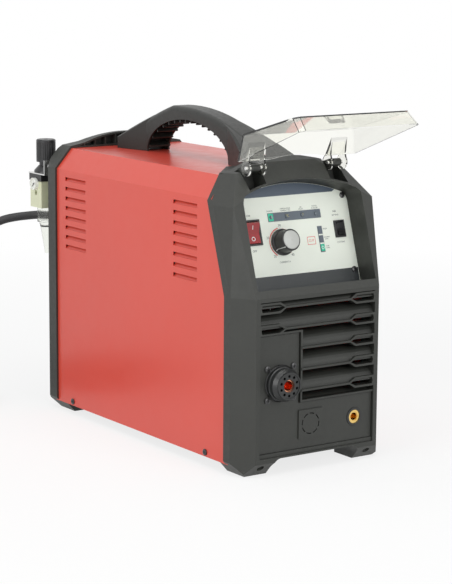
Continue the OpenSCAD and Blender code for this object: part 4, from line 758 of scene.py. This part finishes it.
@dataclass
class MainsLead(Assembly):
    """The mains lead: from its gland down to the floor, then a flat coil beside the plug."""

    diameter: float = 11.4
    turns: int = 3
    outer_r: float = 82
    gap: float = 0.6
    ring_step: int = 24
    tail: float = 40
    route: tuple[tuple[float, float, float], ...] = (
        (-64, 482, 252), (-64, 490, 252), (-65.4, 500.5, 252), (-69.7, 512.3, 251.5),
        (-76.4, 522.8, 250.7), (-85.4, 531.6, 249.7), (-96, 538.5, 248.5), (-108, 545.5, 246.8),
        (-121.5, 553, 243.6), (-134.5, 560, 237.5), (-146.5, 566.8, 228), (-156, 573.5, 214.5),
        (-162, 580, 197), (-165, 586, 176), (-166, 591, 152), (-166, 596, 127), (-166, 601, 102),
        (-167, 606, 78), (-171, 610.5, 56), (-179.5, 614.5, 36.5), (-191.5, 618, 21.5),
        (-206, 620.7, 11.5), (-221, 622, 7), (-236, 622, 6))

    def finishes(self) -> dict[str, Finish]:
        """Gives the finishes of what is on the lead."""
        return {"cable_gland": DEEP_BLACK, "mains_plug": SOCKET_BLACK}

    def smooth(self, per_stretch: int) -> list[Vector]:
        """Gives points of a smooth line through the route.

        Args:
            per_stretch: Points for each stretch of the route.

        Returns:
            The points, in millimetres, counted from the front face.
        """
        way = [Vector(p) for p in self.route]
        last = len(way) - 1
        points = []
        for i in range(last):
            p0, p1, p2, p3 = way[max(0, i - 1)], way[i], way[i + 1], way[min(last, i + 2)]
            for j in range(per_stretch):
                t = j / per_stretch
                points.append(0.5 * (2 * p1 + (p2 - p0) * t
                                     + (2 * p0 - 5 * p1 + 4 * p2 - p3) * t * t
                                     + (3 * p1 - p0 - 3 * p2 + p3) * t ** 3))
        return points + [way[last]]

    def coil(self) -> list[Vector]:
        """Gives the points of the coil: in on the floor, over in half a turn, and out on top."""
        pitch = self.diameter + self.gap
        start = Vector(self.route[-1])
        cx, cy = start.x - self.diameter, start.y - self.outer_r
        middle = self.turns + 0.25
        points = []
        for i in range(int(self.ring_step * (2 * self.turns + 0.25)) + 1):
            turn = i / self.ring_step
            r = self.outer_r - pitch * min(turn, 2 * middle - turn)
            climb = min(1.0, max(0.0, 2 * (turn - self.turns)))
            a = 2 * math.pi * turn
            points.append(Vector((cx - r * math.sin(a), cy + r * math.cos(a),
                                  self.diameter / 2 + pitch * climb)))
        end = points[-1]
        points += [end + Vector((0, -self.tail * k / 3, 1.2 * k / 3)) for k in (1, 2, 3)]
        points.append(end + Vector((0, -self.tail - self.diameter, 1.2)))
        return points

    def build(self) -> None:
        """Lays the lead as one round cord from the gland to the plug."""
        way = self.smooth(4) + self.coil()
        points = [Vector((p.x * MM, p.y * MM + FRONT_Y, p.z * MM)) for p in way]
        curve = bpy.data.curves.new("mains_lead", "CURVE")
        curve.dimensions = "3D"
        curve.bevel_depth = self.diameter / 2 * MM
        curve.bevel_resolution = 6
        curve.use_fill_caps = True
        line = curve.splines.new("POLY")
        line.points.add(len(points) - 1)
        for spot, place in zip(line.points, points):
            spot.co = (*place, 1)
        curve.materials.append(SHEATH.material())
        lead = bpy.data.objects.new("mains_lead", curve)
        bpy.context.scene.collection.objects.link(lead)
        set_down(lead, "case")
        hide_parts("mains_cord", "cord_coil")


# ------------------------------------------------------------------ studio


@dataclass
class Studio:
    """Camera, floor, world and soft lamps."""

    azimuth: float = -34.518
    elevation: float = 10.147
    roll: float = 0.375
    focal_px: float = 2007.615
    image_h: float = 584
    world_light: float = 0.42
    floor_half: float = 12
    floor_white: Point = (0.78, 1)
    floor_fade: Point = (0.5, 1.6)
    eye: tuple[float, float, float] = (-1.41263, -2.07263, 0.63141)
    sensor: float = 24

    def camera(self) -> None:
        """Sets the camera where it stands, aimed by azimuth, elevation and roll."""
        a, e, r = (math.radians(x) for x in (self.azimuth, self.elevation, self.roll))
        back = Vector((math.sin(a) * math.cos(e), -math.cos(a) * math.cos(e), math.sin(e)))
        right = Vector((math.cos(a), math.sin(a), 0))
        up = back.cross(right)
        level, rise = right * math.cos(r) + up * math.sin(r), up * math.cos(r) - right * math.sin(r)
        lens = bpy.data.cameras.new("camera")
        lens.sensor_fit = "VERTICAL"
        lens.sensor_height = self.sensor
        lens.lens = self.focal_px * self.sensor / self.image_h
        lens.clip_end = 30
        camera = bpy.data.objects.new("camera", lens)
        turn = Matrix((level, rise, back)).transposed()
        camera.matrix_world = Matrix.LocRotScale(Vector(self.eye), turn, None)
        bpy.context.scene.collection.objects.link(camera)
        bpy.context.scene.camera = camera

    def white_where_seen(self, tree: bpy.types.NodeTree) -> Socket:
        """Adds the switch that is 1 for rays from the camera, gloss and glass."""
        paths = tree.nodes.new("ShaderNodeLightPath")
        seen = paths.outputs["Is Camera Ray"]
        for kind in ("Is Glossy Ray", "Is Transmission Ray"):
            either = tree.nodes.new("ShaderNodeMath")
            either.operation = "MAXIMUM"
            tree.links.new(seen, either.inputs[0])
            tree.links.new(paths.outputs[kind], either.inputs[1])
            seen = either.outputs[0]
        return seen

    def world(self) -> None:
        """Makes an even pale world, white where it is seen."""
        world = bpy.data.worlds.new("studio_world")
        world.use_nodes = True
        tree = world.node_tree
        even = tree.nodes["Background"]
        even.inputs["Color"].default_value = (0.96, 0.98, 1, 1)
        even.inputs["Strength"].default_value = self.world_light
        white = tree.nodes.new("ShaderNodeBackground")
        white.inputs["Color"].default_value = (1, 1, 1, 1)
        mix = tree.nodes.new("ShaderNodeMixShader")
        tree.links.new(self.white_where_seen(tree), mix.inputs[0])
        tree.links.new(even.outputs[0], mix.inputs[1])
        tree.links.new(white.outputs[0], mix.inputs[2])
        tree.links.new(mix.outputs[0], tree.nodes["World Output"].inputs[0])
        bpy.context.scene.world = world

    def floor(self) -> None:
        """Lays a wide pale floor that keeps a faint shadow."""
        shader = Shader("studio_floor")
        surface = shader.surface
        surface.inputs["Base Color"].default_value = (0.93, 0.93, 0.92, 1)
        surface.inputs["Roughness"].default_value = 0.9
        surface.inputs["Specular IOR Level"].default_value = 0.1
        glow = shader.tree.nodes.new("ShaderNodeEmission")
        glow.inputs["Color"].default_value = (1, 1, 1, 1)
        share = shader.tree.nodes.new("ShaderNodeMath")
        share.operation = "MULTIPLY"
        away = shader.tree.nodes.new("ShaderNodeVectorMath")
        away.operation = "LENGTH"
        shader.link(shader.place, away.inputs[0])
        fade = shader.tree.nodes.new("ShaderNodeMapRange")
        for name, value in zip(("From Min", "From Max", "To Min", "To Max"),
                               self.floor_fade + self.floor_white):
            fade.inputs[name].default_value = value
        shader.link(away.outputs["Value"], fade.inputs["Value"])
        shader.link(fade.outputs["Result"], share.inputs[1])
        shader.link(self.white_where_seen(shader.tree), share.inputs[0])
        mix = shader.tree.nodes.new("ShaderNodeMixShader")
        shader.link(share.outputs[0], mix.inputs[0])
        shader.link(surface.outputs[0], mix.inputs[1])
        shader.link(glow.outputs[0], mix.inputs[2])
        shader.link(mix.outputs[0], shader.tree.nodes["Material Output"].inputs[0])
        half = self.floor_half
        mesh = bpy.data.meshes.new("studio_floor")
        corners = [(-half, -half, 0), (half, -half, 0), (half, half, 0), (-half, half, 0)]
        mesh.from_pydata(corners, [], [(0, 1, 2, 3)])
        mesh.materials.append(shader.material)
        floor = bpy.data.objects.new("studio_floor", mesh)
        bpy.context.scene.collection.objects.link(floor)

    def lamp(self, name: str, place: Sequence[float], aim: Sequence[float], size: float,
             power: float) -> None:
        """Adds one soft square lamp.

        Args:
            name: The lamp's name.
            place: Where it hangs, in metres.
            aim: The point that it faces.
            size: Its side, in metres.
            power: Its power in watts.
        """
        light = bpy.data.lights.new(name, "AREA")
        light.size = size
        light.energy = power
        lamp = bpy.data.objects.new(name, light)
        lamp.location = place
        lamp.rotation_euler = (Vector(aim) - Vector(place)).to_track_quat("-Z", "Y").to_euler()
        bpy.context.scene.collection.objects.link(lamp)

    def make(self) -> None:
        """Builds the whole studio."""
        self.camera()
        self.world()
        self.floor()
        self.lamp("overhead", (-0.3, -0.3, 2.3), (0, 0, 0.2), 1.8, 19)
        self.lamp("left", (-2.5, -0.5, 1.0), (0, 0, 0.2), 1.5, 27)
        self.lamp("front", (0.3, -2.3, 1.0), (0, 0, 0.25), 1.2, 17)
        bpy.context.scene.view_settings.view_transform = "Standard"


def corners(box: Sequence[Sequence[float]]) -> list[list[float]]:
    """Gives a box as plain lists of numbers."""
    return [[float(x) for x in corner] for corner in box]


def main() -> None:
    """Builds the studio, then dresses each sub-assembly in turn."""
    logging.basicConfig(level=logging.INFO, format="%(name)s: %(message)s")
    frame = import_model()
    nodes = frame["nodes"]
    Studio().make()
    for part in (MainsLead, Housing, Panel, Sockets, Lid, AirSide, Inside):
        part(nodes).make()


if __name__ == "__main__":
    main()
